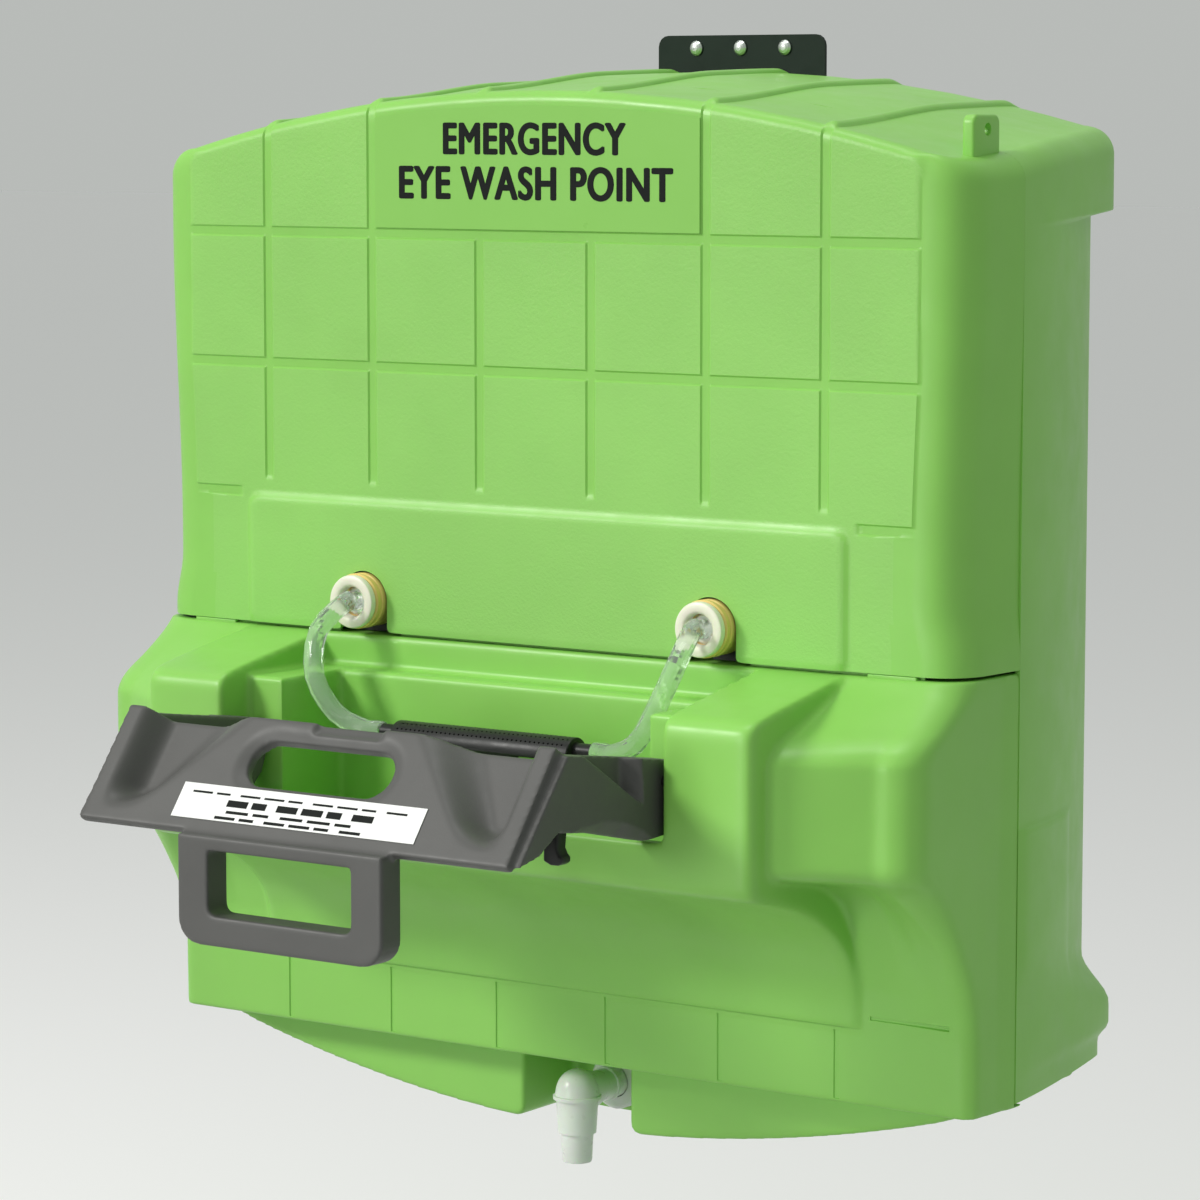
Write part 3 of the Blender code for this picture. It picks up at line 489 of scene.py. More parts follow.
def roof_rise(y):
    """How far the roof climbs from the front towards the wall."""
    return 0.011 * smooth_step(0.0, 0.16, y - FRONT_Y) + 0.004 * smooth_step(0.08, 0.27, y - FRONT_Y)


def bead(x, y):
    """Height of the raised lines that run back over the roof."""
    nearest = CELL * (math.floor(x / CELL) + 0.5)
    if abs(nearest) > 0.26:
        return 0.0
    fade = smooth_step(0.003, 0.012, y - FRONT_Y) * smooth_step(-0.004, -0.030, y)
    return BEAD_RISE * max(0.0, 1 - (abs(x - nearest) / BEAD_HALF) ** 2) ** 0.5 * fade


def cover_half(y):
    """Half width of the cover at a depth, as a function of height."""
    widest = FRONT_HALF + (SEAM_HALF - FRONT_HALF) * (y - FRONT_Y) / (SEAM_Y - FRONT_Y)

    def at(z):
        bow = 0.0065 * smooth_step(-0.10, -0.33, z) * (1 - smooth_step(-0.352, -0.392, z))
        return widest - bow * (1 - 0.75 * smooth_step(FRONT_Y + 0.02, SEAM_Y, y))
    return at


TILE = 0.0012             # how far the stippled tiles stand above the bands between them
TILE_EDGE = 0.3262


def band(distance):
    """1 on a band between tiles, 0 on a tile."""
    return 1 - smooth_step(0.0030, 0.0043, abs(distance))


def tile_depth(x, z):
    """Depth of the front face below the tiles' level."""
    low = smooth_step(-0.2970, -0.3050, z)
    depth = smooth_step(TILE_EDGE - 0.0005, TILE_EDGE + 0.0008, abs(x)) * (1 - low)
    depth += smooth_step(0.284, TILE_EDGE + 0.0018, abs(x)) * low
    fade = smooth_step(-0.2905, -0.2860, z)
    for k in range(6):
        middle = CELL * (k - 2.5)
        if abs(middle) > 0.1 or z < LINE_TOP + 0.0005:
            depth = max(depth, band(x - middle) * fade)
    for level in (LINE_TOP, LINE_TOP - CELL):
        depth = max(depth, band(z - level))
    if abs(x) > 0.276:
        depth = max(depth, band(z - LINE_TOP + 2 * CELL) * smooth_step(0.276, 0.279, abs(x)))
    return TILE * depth


def panel_rise(x, z):
    """How far the raised lower panel stands out."""
    radius = 0.014
    dx = abs(x) - (0.273 - radius)
    low, high = COVER_BOTTOM - 0.006 + radius, -0.298 - radius
    dz = max(z - high, low - z)
    if dx > 0 and dz > 0:
        inside = radius - math.hypot(dx, dz)
    else:
        inside = radius - max(dx, dz)
    return 0.0032 * smooth_step(0.0, 0.0085, inside)


def cover_columns():
    """X positions across the front, with the corner arc's columns last on each side."""
    xs = {0.0, 0.025, 0.075, 0.125, 0.175, 0.225, 0.262, 0.2655, 0.268, 0.2695, 0.271, 0.2725, 0.274, 0.276,
          0.2775, 0.279, 0.282, 0.290, 0.2935, 0.2955, 0.297, 0.300}
    for k in range(3):
        middle = CELL * (k + 0.5)
        for step in (0.0, 0.0015, 0.0030, 0.0036, 0.0043, 0.0052, 0.008):
            xs |= {middle + step, middle - step}
    return sorted(xs | {-x for x in xs})


def cover_levels():
    """Z positions below the first band."""
    zs = {COVER_BOTTOM, -0.3968, -0.3950, -0.3930, -0.3910, -0.3880, -0.3840, -0.3800, -0.372, -0.365,
          -0.358, -0.350, -0.340, -0.328, -0.318, -0.314, -0.311, -0.308, -0.3055, -0.3043, -0.3036, -0.3030,
          -0.300, -0.298, -0.297, -0.2964, -0.2957, -0.2945, -0.2925, -0.2905, -0.2890, -0.2875, -0.2860,
          -0.280, -0.260, -0.240, -0.220, -0.180, -0.160, -0.140, -0.120}
    for level in (LINE_TOP, LINE_TOP - CELL):
        for step in (0.0, 0.0015, 0.0030, 0.0036, 0.0043, 0.0052, 0.009):
            zs |= {level + step, level - step}
    return sorted(zs)


ARC = 8                   # steps of the corner between side and roof
UPPER = 12                # steps between the first band and the roof


def stretched(x, span, end):
    """Moves a column beyond STRETCH_FROM so that the outermost span reaches a new end."""
    if abs(x) < STRETCH_FROM:
        return x
    return math.copysign(STRETCH_FROM + (abs(x) - STRETCH_FROM) * (end - STRETCH_FROM) / span, x)


def cover_grid():
    """The cover's outer sheet: front face, rounding and sides, as rings round a structured front."""
    columns = cover_columns()
    levels = cover_levels()
    verts = []
    faces = []

    def section(y, inset, drop):
        half_at = cover_half(y)
        arc_x = half_at(crown(0.34)) - inset - ROOF_CORNER
        shoulder = crown(arc_x) + roof_rise(y) - drop - ROOF_CORNER * ROOF_SQUASH

        def arc_point(k, sign):
            a = math.pi / 2 * k / ARC
            x = sign * (arc_x + ROOF_CORNER * math.sin(a))
            return (x, shoulder + ROOF_CORNER * ROOF_SQUASH * math.cos(a))

        line = [arc_point(k, -1) for k in range(ARC, 0, -1)]
        for x in columns:
            px = stretched(x, 0.010, arc_x)
            line.append((px, crown(px) + roof_rise(y) - drop))
        line += [arc_point(k, 1) for k in range(1, ARC + 1)]
        return half_at, line, shoulder

    def z_of(row, top_z):
        if row < len(levels):
            return levels[row]
        t = (row - len(levels) + 1) / UPPER
        return levels[-1] + (top_z - levels[-1]) * t

    rows = len(levels) + UPPER
    half_at, top, shoulder = section(FRONT_Y, CORNER, ROOF_EDGE)
    width = len(top)
    cap = []
    for row in range(rows):
        line = []
        side = half_at(z_of(row, shoulder)) - CORNER
        for x_top, z_top in top:
            x = stretched(x_top, top[-1][0] - STRETCH_FROM, side)
            z = z_of(row, z_top)
            line.append(len(verts))
            verts.append((x, FRONT_Y + tile_depth(x, z) - panel_rise(x, z), z))
        cap.append(line)
    for row in range(rows - 1):
        for k in range(width - 1):
            faces.append((cap[row][k], cap[row][k + 1], cap[row + 1][k + 1], cap[row + 1][k]))

    previous = [line[0] for line in cap] + cap[-1][1:-1] + [line[-1] for line in reversed(cap)]
    turns = [3, 7, 12, 18, 25, 33, 42, 52, 63, 76, 90]
    stops = []
    for turn in turns:
        a = math.radians(turn)
        stops.append((FRONT_Y + CORNER * (1 - math.cos(a)), CORNER * (1 - math.sin(a))))
    stops += [(y, 0.0) for y in (-0.240, -0.232, -0.222, -0.212, SEAM_Y)]
    for y, inset in stops:
        depth = y - FRONT_Y
        drop = 0.0
        if depth < ROOF_EDGE:
            drop = ROOF_EDGE - math.sqrt(ROOF_EDGE ** 2 - (ROOF_EDGE - depth) ** 2)
        half_at, top, shoulder = section(y, inset, drop)
        fade = 1 - smooth_step(0.0, 0.006, depth)
        ring = []
        for row in range(rows):
            z = z_of(row, shoulder)
            ring.append((-(half_at(z) - inset), y + fade * TILE, z))
        for x, z in top[1:-1]:
            lift = bead(x, y) - tile_depth(x, -0.02) * fade * 0.6
            ring.append((x, y + tile_depth(x, -0.02) * fade, z + lift))
        for row in range(rows - 1, -1, -1):
            z = z_of(row, shoulder)
            ring.append((half_at(z) - inset, y + fade * TILE, z))
        current = list(range(len(verts), len(verts) + len(ring)))
        verts += ring
        for a, b, c, d in zip(previous, previous[1:], current[1:], current):
            faces.append((a, b, c, d))
        previous = current
    return verts, faces


def build_cover():
    """Cover shell with two port notches and stippled tiles."""
    verts, faces = cover_grid()
    cover = add_mesh("cover_shell", verts, faces, "green", closed=False)
    if cover.data.polygons[0].normal.y > 0:
        cover.data.flip_normals()
    solid = cover.modifiers.new("Solidify", "SOLIDIFY")
    solid.thickness = WALL
    solid.offset = -1.0
    baked(cover)
    for side in (-1, 1):
        combine(cover, port_notch(side))
    cover.data.materials.clear()
    cover.data.materials.append(MATS["green"])
    cover.data.materials.append(MATS["green_tile"])
    for poly in cover.data.polygons:
        x, y, z = poly.center
        front = poly.normal.y < -0.9 and y < FRONT_Y + 0.0006
        sign = abs(x) < 0.1505 and z > LINE_TOP
        poly.material_index = 1 if front and not sign and abs(x) < TILE_EDGE else 0
    return keep(cover, "cover", "green_plastic", "front_cover")


def port_notch(side):
    """Arched opening in the cover's bottom edge with rounded lips."""
    middle = side * PORT_X
    lip = ((0.0300, -0.0005), (0.0240, 0.0004), (0.0228, 0.0012), (NOTCH_RADIUS, 0.0028))
    ring = [(middle - 0.0300, COVER_BOTTOM - 0.02), (middle + 0.0300, COVER_BOTTOM - 0.02)]
    ring += [(middle + out, COVER_BOTTOM + up) for out, up in lip]
    for k in range(25):
        a = math.pi * k / 24
        ring.append((middle + NOTCH_RADIUS * math.cos(a), PORT_Z + NOTCH_RADIUS * math.sin(a)))
    ring += [(middle - out, COVER_BOTTOM + up) for out, up in reversed(lip)]
    return loft("notch", [[(x, y, z) for x, z in ring] for y in (FRONT_Y - 0.02, FRONT_Y + 0.02)], "green")


def build_lug():
    """Upright tab with rounded edges and a hole for a tamper seal."""
    ring = [(-0.2430, -0.052), (-0.2060, -0.052)]
    for start, y, z in ((0, -0.2125, -0.0175), (90, -0.2365, -0.0175)):
        for k in range(7):
            a = math.radians(start + 15 * k)
            ring.append((y + 0.0065 * math.cos(a), z + 0.0065 * math.sin(a)))
    lug = extrude_x("lug", ring, LUG_X - 0.0048, LUG_X + 0.0048, "green")
    lug = bevelled(lug, 0.0022, 4)
    combine(lug, lathe("hole", [(-0.01, 0), (-0.01, 0.0046), (0.01, 0.0046), (0.01, 0)],
                       (LUG_X, -0.2235, -0.0215), (1, 0, 0), "green", 32))
    lug.name = "seal_lug"
    keep(lug, "cover", "green_plastic")


def lettering(name, words, height, width, z, weight):
    """One line of upright bold letters on the sign, centred, as a thin closed mesh."""
    curve = bpy.data.curves.new(name, "FONT")
    curve.body = words
    curve.align_x = "CENTER"
    curve.space_character = 1.10
    text = bpy.data.objects.new(name, curve)
    bpy.context.scene.collection.objects.link(text)
    bpy.context.view_layer.update()
    graph = bpy.context.evaluated_depsgraph_get()
    mesh = bpy.data.meshes.new_from_object(text.evaluated_get(graph))
    bpy.data.objects.remove(text, do_unlink=True)
    xs = [v.co.x for v in mesh.vertices]
    ys = [v.co.y for v in mesh.vertices]
    middle, low = (min(xs) + max(xs)) / 2, min(ys)
    scale_x = (width - 2 * weight) / (max(xs) - min(xs))
    scale_z = (height - 2 * weight) / (max(ys) - min(ys))
    steps = [(math.cos(math.pi * k / 4), 0.6 * math.sin(math.pi * k / 4)) for k in range(8)] + [(0.0, 0.0)]
    verts, faces = [], []
    for number, (dx, dz) in enumerate(steps):
        first = len(verts)
        verts += [((v.co.x - middle) * scale_x + dx * weight, FRONT_Y - 0.00085 - 0.00001 * number,
                   z + weight + (v.co.y - low) * scale_z + dz * weight) for v in mesh.vertices]
        faces += [tuple(first + i for i in p.vertices) for p in mesh.polygons]
    piece = add_mesh(name, verts, faces, "ink", closed=False)
    solid = piece.modifiers.new("Solidify", "SOLIDIFY")
    solid.thickness = 0.0002
    solid.offset = 0.0
    return baked(piece)


def build_sign():
    """Film with two lines of generic lettering."""
    NODES["sign_panel"].data.materials[0] = MATS["green_film"]
    for name, words, height, width, z in (("sign_words_1", "EMERGENCY", 0.0250, 0.164, -0.0415),
                                          ("sign_words_2", "EYE WASH POINT", 0.0260, 0.246, -0.0745)):
        keep(lettering(name, words, height, width, z, 0.0013), "cover", "black_plastic")


# ---------------------------------------------------------------- rear shell

def shell_half(y):
    """Half width of the rear shell at a depth, as a function of height."""
    t = min(1.0, max(0.0, (y - SEAM_Y) / (BACK_Y - SEAM_Y)))
    side = SEAM_HALF - 0.054 * t ** 1.7
    hood = SEAM_HALF - 0.030 * t ** 1.5
    foot = SEAM_HALF - 0.0245 * t ** 1.5
    step = 0.0022 * smooth_step(0.0, 0.05, t) * (1 - smooth_step(0.48, 0.56, t))

    def at(z):
        edge = -0.090 + 0.008 * t
        width = side + (hood - side) * smooth_step(edge - 0.0025, edge + 0.0025, z)
        width += step * (1 - smooth_step(-0.5165, -0.5135, z))
        foot_top = -0.600 - 0.040 * t
        width += (foot - side - step) * smooth_step(foot_top, foot_top - 0.035, z)
        width -= 0.010 * t * smooth_step(-0.686, -0.700, z)
        return width
    return at


def shell_levels():
    """Z positions up the rear shell's side."""
    zs = [SHELL_BOTTOM]
    zs += [round(-0.710 + 0.004 * k, 3) for k in range(6)]
    zs += [round(-0.686 + 0.006 * k, 3) for k in range(16)]
    zs += [-0.58, -0.56, -0.54, -0.520, -0.5165, -0.5155, -0.5145, -0.5135, -0.510]
    zs += [round(-0.48 + 0.04 * k, 2) for k in range(9)]
    zs += [-0.13, -0.110, -0.100]
    zs += [-0.095 + 0.001 * k for k in range(17)]
    return zs + [-0.075, -0.070, -0.062]


def shell_ring(y, inset):
    """One closed section of the rear shell, going round from bottom left."""
    half_at = shell_half(y)
    drop = 0.25 * inset
    arc_x = half_at(crown(0.34)) - inset - ROOF_CORNER
    shoulder = crown(arc_x) + roof_rise(y) - drop - ROOF_CORNER * ROOF_SQUASH
    right = []
    bottom = SHELL_BOTTOM + 0.3 * inset
    for z in shell_levels():
        level = z if z < -0.078 else -0.078 + (z + 0.078) * (shoulder + 0.078) / 0.0165
        level = max(level, bottom + (z - SHELL_BOTTOM) * 0.5)
        right.append((half_at(level) - inset, level))
    for k in range(ARC):
        a = math.pi / 2 * (k + 0.5) / ARC
        right.append((arc_x + ROOF_CORNER * math.cos(a), shoulder + ROOF_CORNER * ROOF_SQUASH * math.sin(a)))
    steps = (0.0052, BEAD_HALF, 0.0041, 0.0030, 0.0015)
    stations = [arc_x, 0.28]
    for k in range(6):
        middle = CELL * (2.5 - k)
        stations += [middle + step for step in steps] + [middle] + [middle - step for step in reversed(steps)]
        stations.append(middle - CELL / 2 if k < 5 else -0.28)
    stations.append(-arc_x)
    roof = [(x, crown(x) + roof_rise(y) - drop + bead(x, y)) for x in stations]
    left = [(-x, z) for x, z in reversed(right)]
    return [(x, y, z) for x, z in right + roof + left]


def build_shell():
    """Rear shell, open at the seam, with the slot for the hook."""
    stops = [(SEAM_Y + 0.0001, 0.0)]
    stops += [(SEAM_Y + 0.0065 * k, 0.0) for k in range(1, 27)]
    stops += [(-0.028, 0.0003), (-0.024, 0.0015), (-0.020, 0.0035), (-0.016, 0.006), (-0.012, 0.0085),
              (-0.008, 0.0125), (-0.0055, 0.0165), (BACK_Y, 0.020)]
    rings = [shell_ring(y, inset) for y, inset in stops]
    shell = loft("housing_shell", rings, "green")
    front = [p for p in shell.data.polygons
             if abs(p.center.y - SEAM_Y - 0.0001) < 1e-4 and abs(p.normal.y) > 0.9]
    bm = bmesh.new()
    bm.from_mesh(shell.data)
    bm.faces.ensure_lookup_table()
    bmesh.ops.delete(bm, geom=[bm.faces[p.index] for p in front], context="FACES_ONLY")
    bm.to_mesh(shell.data)
    bm.free()
    solid = shell.modifiers.new("Solidify", "SOLIDIFY")
    solid.thickness = WALL
    solid.offset = -1.0
    baked(shell)
    combine(shell, box("slot", (-0.0525, 0.0525), (-0.020, 0.01), (-0.068, -0.0397)))
    return keep(shell, "station", "green_plastic", "rear_shell")


# ---------------------------------------------------------------- lower body

WING_TOP = ((-0.403, 0.0), (-0.410, 0.10), (-0.420, 0.30), (-0.431, 0.56), (-0.440, 0.80), (-0.447, 0.93),
            (-0.456, 1.0), (-0.526, 1.0))
WING_INNER = WING_TOP + ((-0.532, 0.97), (-0.537, 0.88), (-0.541, 0.68), (-0.546, 0.46), (-0.552, 0.34),
                         (-0.559, 0.25), (-0.569, 0.175), (-0.580, 0.12), (-0.605, 0.045), (-0.630, 0.0))
WING_OUTER = WING_TOP + ((-0.537, 0.94), (-0.548, 0.78), (-0.562, 0.58), (-0.578, 0.40), (-0.595, 0.26),
                         (-0.618, 0.12), (-0.645, 0.03), (-0.670, 0.0))
PILLAR = ((-0.403, 0.280), (-0.4115, 0.330), (-0.420, 0.378), (-0.4245, 0.397), (-0.430, 0.4035),
          (-0.437, 0.405), (-0.541, 0.405), (-0.547, 0.402), (-0.550, 0.394), (-0.556, 0.368),
          (-0.566, 0.336), (-0.579, 0.310), (-0.593, 0.290), (-0.608, 0.276), (-0.628, 0.266),
          (-0.645, 0.2625), (-0.6588, 0.2620), (-0.6612, 0.2580))


def wing_front(x, z):
    """Distance from the wall of the front beside the pillars."""
    base = 0.280 - 0.022 * smooth_step(-0.46, -0.63, z)
    reach = 0.385 - 0.052 * max(0.0, (x - 0.27) / 0.09)
    outward = smooth_step(0.300, 0.350, x)
    rise = curve_through(WING_INNER, z) * (1 - outward) + curve_through(WING_OUTER, z) * outward
    return base + rise * (reach - base)


def body_ring(z):
    """One closed level section of the lower body."""
    half = 0.3635 - 0.0015 * smooth_step(-0.45, -0.60, z)
    radius = 0.028 - 0.016 * smooth_step(-0.53, -0.60, z)
    flank = SEAM_HALF - 0.0005
    right = [(flank, SEAM_Y + 0.012), (flank, SEAM_Y - 0.0002), (half + 0.001, -0.225)]
    edge = wing_front(half - radius, z)
    for k in range(9):
        a = math.radians(85 * k / 8)
        right.append((half - radius + radius * math.cos(a), -(edge - radius + radius * math.sin(a))))
    for x in (half - radius - 0.002, 0.326, 0.316, 0.304, 0.292, 0.282, 0.276, 0.2724):
        right.append((x, -wing_front(x, z)))
    front = curve_through(PILLAR, z)
    step = max(0.0, front - wing_front(0.2724, z))
    for x, back in ((0.2706, step - min(0.0016, 0.1 * step)), (0.2702, min(0.0100, 0.8 * step)),
                    (0.2690, min(0.0046, 0.5 * step)), (0.2670, min(0.0018, 0.3 * step)),
                    (0.2635, min(0.0005, 0.1 * step)), (0.259, 0.0), (0.23, 0.0), (PILLAR_IN, 0.0),
                    (0.10, 0.0)):
        right.append((x, back - front))
    ring = right + [(0.0, -front)] + [(-x, y) for x, y in reversed(right)]
    return [(x, y, z) for x, y in ring]


def sump_bottom(x):
    """Height of the sump's curved underside."""
    return -0.7745 + 0.0495 * (abs(x) / SUMP_HALF) ** 1.9


def sump_block():
    """The sump under the body, before the drain's notch is cut."""
    rings = []
    for y in (SUMP_FRONT, -0.050):
        half = SUMP_HALF
        ring = [(half, y, BODY_BOTTOM - 0.008), (half, y, BODY_BOTTOM + 0.006),
                (-half, y, BODY_BOTTOM + 0.006), (-half, y, BODY_BOTTOM - 0.008)]
        for k in range(1, 40):
            x = -half + 2 * half * k / 40
            ring.append((x, y, sump_bottom(x)))
        rings.append(ring)
    return loft("sump", rings, "green")


def body_levels():
    """Z positions of the lower body's sections, from the deck down."""
    found = [DECK_Z - 0.0025 * k for k in range(104)]
    found = [z for z in found if z > BODY_BOTTOM] + [BODY_BOTTOM, -0.6588, -0.6612]
    return sorted(set(found), reverse=True)


def groove(start, end, width=0.0060):
    """Cutter for a shallow line between two (x, z) points."""
    (x0, z0), (x1, z1) = start, end
    along = Vector((x1 - x0, z1 - z0)).normalized()
    across = Vector((-along.y, along.x))
    rings = []
    for y, half in ((BAND_Y - 0.003, width * 0.75), (BAND_Y + 0.0010, width * 0.32)):
        ring = []
        for (cx, cz), sign in ((start, -1), (end, 1)):
            for side in (sign, -sign):
                ring.append((cx + across.x * half * side + along.x * half * sign * 0.4, y,
                             cz + across.y * half * side + along.y * half * sign * 0.4))
        rings.append(ring)
    return loft("bar", rings, "green")


def build_body():
    """Lower body, softened before its crisp cuts are made, and its small tabs."""
    body = loft("body_shell", [body_ring(z) for z in body_levels()], "green")
    combine(body, sump_block(), "UNION")
    edge = [(NOTCH_HALF, BODY_BOTTOM - 0.0005)]
    for k in range(7):
        a = math.radians(15 * k)
        edge.append((NOTCH_HALF + 0.010 * (1 - math.cos(a)), -0.7635 - 0.010 * math.sin(a)))
    edge.append((NOTCH_HALF + 0.010, -0.80))
    edge += [(-x, z) for x, z in reversed(edge)]
    combine(body, loft("notch", [[(x, y, z) for x, z in edge] for y in (-0.26, -0.160)], "green"))
    combine(body, box("mouth", (-PILLAR_IN, PILLAR_IN), (-0.430, -0.3925), (RIM_Z, -0.39)))
    combine(body, box("upper", (-PILLAR_IN, PILLAR_IN), (-0.3930, BASIN_BACK), (-0.428, -0.39)))
    ring = [(-0.165, -0.302), (0.165, -0.302), (0.165, LEDGE_FRONT), (PILLAR_IN - 0.0002, LEDGE_FRONT),
            (PILLAR_IN - 0.0002, -0.3928), (-PILLAR_IN + 0.0002, -0.3928), (-PILLAR_IN + 0.0002, LEDGE_FRONT),
            (-0.165, LEDGE_FRONT)]
    combine(body, loft("well", [[(x, y, z) for x, y in ring] for z in (BASIN_FLOOR, -0.420)], "green"))
    soften(body, 0.0024, 4, 0.30)
    combine(body, box("seam_cut", (-0.40, 0.40), (SEAM_Y - 0.0002, -0.15), (BODY_BOTTOM + 0.0015, -0.38)))
    combine(body, box("band", (-0.2715, 0.2715), (-0.30, -0.2584), (-0.7120, -0.6602)))
    lines = [groove((CELL * (k - 2.5), -0.664), (CELL * (k - 2.5), -0.7125)) for k in range(6)]
    for side in (-1, 1):
        lines.append(groove((side * 0.2785, -0.6515), (side * 0.3430, -0.6515), 0.0034))
    combine(body, join("lines", lines, "green"))
    for side in (-1, 1):
        combine(body, lathe("bore", [(-0.0125, 0), (-0.0125, PIN_HOLE), (0.0125, PIN_HOLE), (0.0125, 0)],
                            (side * PILLAR_IN, HINGE_Y, HINGE_Z), (1, 0, 0), "green", 24))
    keep(body, "station", "green_plastic", "lower_body", angle=50)
    for side, word in SIDES:
        tab = box("seam_tab_" + word, (side * 0.306 - 0.020, side * 0.306 + 0.020), (-0.2790, -0.2690),
                  (DECK_Z - 0.002, COVER_BOTTOM - 0.0003))
        keep(bevelled(tab, 0.001), "station", "green_plastic")
    spans = ((-0.330, -0.186), (-0.128, 0.128), (0.186, 0.330))
    lips = [box("lip", span, (-0.2742, -0.2720), (DECK_Z - 0.002, DECK_Z + 0.008)) for span in spans]
    keep(join("deck_lip", lips, "green"), "station", "green_plastic")


# ---------------------------------------------------------------- activation arm

def arm_point(x, u, lift):
    """Point across and down the arm's sloping face, lifted off it."""
    length = math.hypot(TOE[0] - CREST[0], TOE[1] - CREST[1])
    dy, dz = (TOE[0] - CREST[0]) / length, (TOE[1] - CREST[1]) / length
    return (x, CREST[0] + dy * u + dz * lift, CREST[1] + dz * u - dy * lift)


def slot_gap(x, u):
    """Distance outside the hand slot's outline, on the sloping face."""
    return math.hypot(max(0.0, abs(x) - SLOT[0]), u - SLOT[1]) - SLOT[2]


def scoop(x, u):
    """Depth of the bowls beside the block, of the bevel round the slot and of the gap in the rear edge."""
    start = 0.069 + 0.88 * u
    across = smooth_step(start, start + 0.050 * (1 - 6 * u), abs(x)) * (1 - smooth_step(0.157, 0.176, abs(x)))
    bowl = 0.021 * across * (1 - smooth_step(0.056, 0.084, u))
    bevel = 0.0045 * (1 - smooth_step(-0.003, 0.011, slot_gap(x, u)))
    gap = 0.0040 * smooth_step(-0.018, -0.014, x) * (1 - smooth_step(0.040, 0.044, x))
    return -bowl - bevel - gap * (1 - smooth_step(0.006, 0.010, u))


def arm_plate():
    """The arm's sloping face as a plate of even thickness."""
    xs = [0.0025 * k for k in range(76)]
    xs = [-x for x in reversed(xs[1:])] + xs
    us = [0.094 * k / 38 for k in range(39)]
    rows = [[arm_point(x, u, scoop(x, u)) for x in xs] for u in us]
    under = [[arm_point(x, u, scoop(x, u) - PLATE_THICK) for x in xs] for u in us]
    height, width = len(rows), len(xs)
    verts = [p for row in rows for p in row] + [p for row in under for p in row]
    shift = height * width
    faces = []
    for i in range(height - 1):
        for j in range(width - 1):
            a = i * width + j
            faces.append((a, a + 1, a + width + 1, a + width))
            faces.append((shift + a, shift + a + width, shift + a + width + 1, shift + a + 1))
    rim = list(range(width)) + [i * width + width - 1 for i in range(1, height)]
    rim += [(height - 1) * width + j for j in range(width - 2, -1, -1)]
    rim += [i * width for i in range(height - 2, 0, -1)]
    for a, b in zip(rim, rim[1:] + rim[:1]):
        faces.append((a, b, shift + b, shift + a))
    return add_mesh("arm_shell", verts, faces, "grey")


def arm_web(side):
    """Side cheek from the plate back to the hinge, with a sloping pocket in its outer face."""
    profile = [(-0.5690, -0.5080), (-0.5450, -0.5030), (-0.5220, -0.4900), (-0.4800, -0.4960),
               (-0.4150, -0.5105), (-0.3960, -0.5085), (-0.3840, -0.4980), (-0.3780, -0.4830),
               (-0.3795, -0.4700), (-0.3900, -0.4560), (-0.5120, -0.4385)]
    web = loft("web", [[(side * x, y, z) for y, z in profile] for x in (0.1745, 0.1935)], "grey")
    deep = [(-0.5020, -0.4330), (-0.4330, -0.4400), (-0.4310, -0.4760)]
    wide = [(-0.5085, -0.4320), (-0.4240, -0.4400), (-0.4190, -0.4860)]
    rings = [[(side * 0.1800, y, z) for y, z in deep], [(side * 0.1965, y, z) for y, z in wide]]
    combine(web, loft("pocket", rings, "grey"))
    arch = [(-0.5480, -0.5035), (-0.5200, -0.4925), (-0.4950, -0.4880), (-0.4690, -0.4868),
            (-0.4450, -0.4905), (-0.4220, -0.4990), (-0.4020, -0.5120), (-0.4020, -0.5300),
            (-0.5480, -0.5300)]
    rings = [[(side * x, y, z - drop) for y, z in arch] for x, drop in ((0.1965, -0.0015), (0.1840, 0.0130))]
    return combine(web, loft("arch", rings, "grey"))


def arm_handle():
    """Pull handle under the toe, with rounded lower corners and an opening."""
    loop = []
    for half, top, bottom, r in ((0.0895, -0.508, -0.585, 0.018), (0.0630, -0.5180, -0.5640, 0.007)):
        ring = [(-half, top)]
        for start, x in ((180, -half + r), (270, half - r)):
            for k in range(7):
                a = math.radians(start + 15 * k)
                ring.append((x + r * math.cos(a), bottom + r + r * math.sin(a)))
        loop.append(ring + [(half, top)])
    handle = loft("handle", [[(x, y, z) for x, z in loop[0]] for y in (-0.5600, -0.5830)], "grey")
    combine(handle, loft("opening", [[(x, y, z) for x, z in loop[1]] for y in (-0.60, -0.54)], "grey"))
    return bevelled(handle, 0.0080, 5)


def slot_ring():
    """Outline of the hand slot on the sloping face."""
    ring = []
    for centre, start in ((SLOT[0], -90), (-SLOT[0], 90)):
        for k in range(13):
            a = math.radians(start + 15 * k)
            ring.append((centre + SLOT[2] * math.cos(a), SLOT[1] + SLOT[2] * math.sin(a)))
    return ring


def build_arm():
    """Arm: plate, cheeks and handle in one solid, with slot and bores."""
    arm = arm_plate()
    for side in (-1, 1):
        combine(arm, arm_web(side), "UNION")
    combine(arm, arm_handle(), "UNION")
    rings = [[arm_point(x, u, lift) for x, u in slot_ring()] for lift in (-0.03, 0.02)]
    combine(arm, loft("slot", rings, "grey"))
    soften(arm, 0.0015, 5, 0.5)
    for side in (-1, 1):
        combine(arm, lathe("bore", [(-0.02, 0), (-0.02, PIN_HOLE), (0.02, PIN_HOLE), (0.02, 0)],
                           (side * 0.184, HINGE_Y, HINGE_Z), (1, 0, 0), "grey", 24))
    keep(arm, "arm", "grey_plastic", "activation_arm", angle=50)


# ---------------------------------------------------------------- small parts

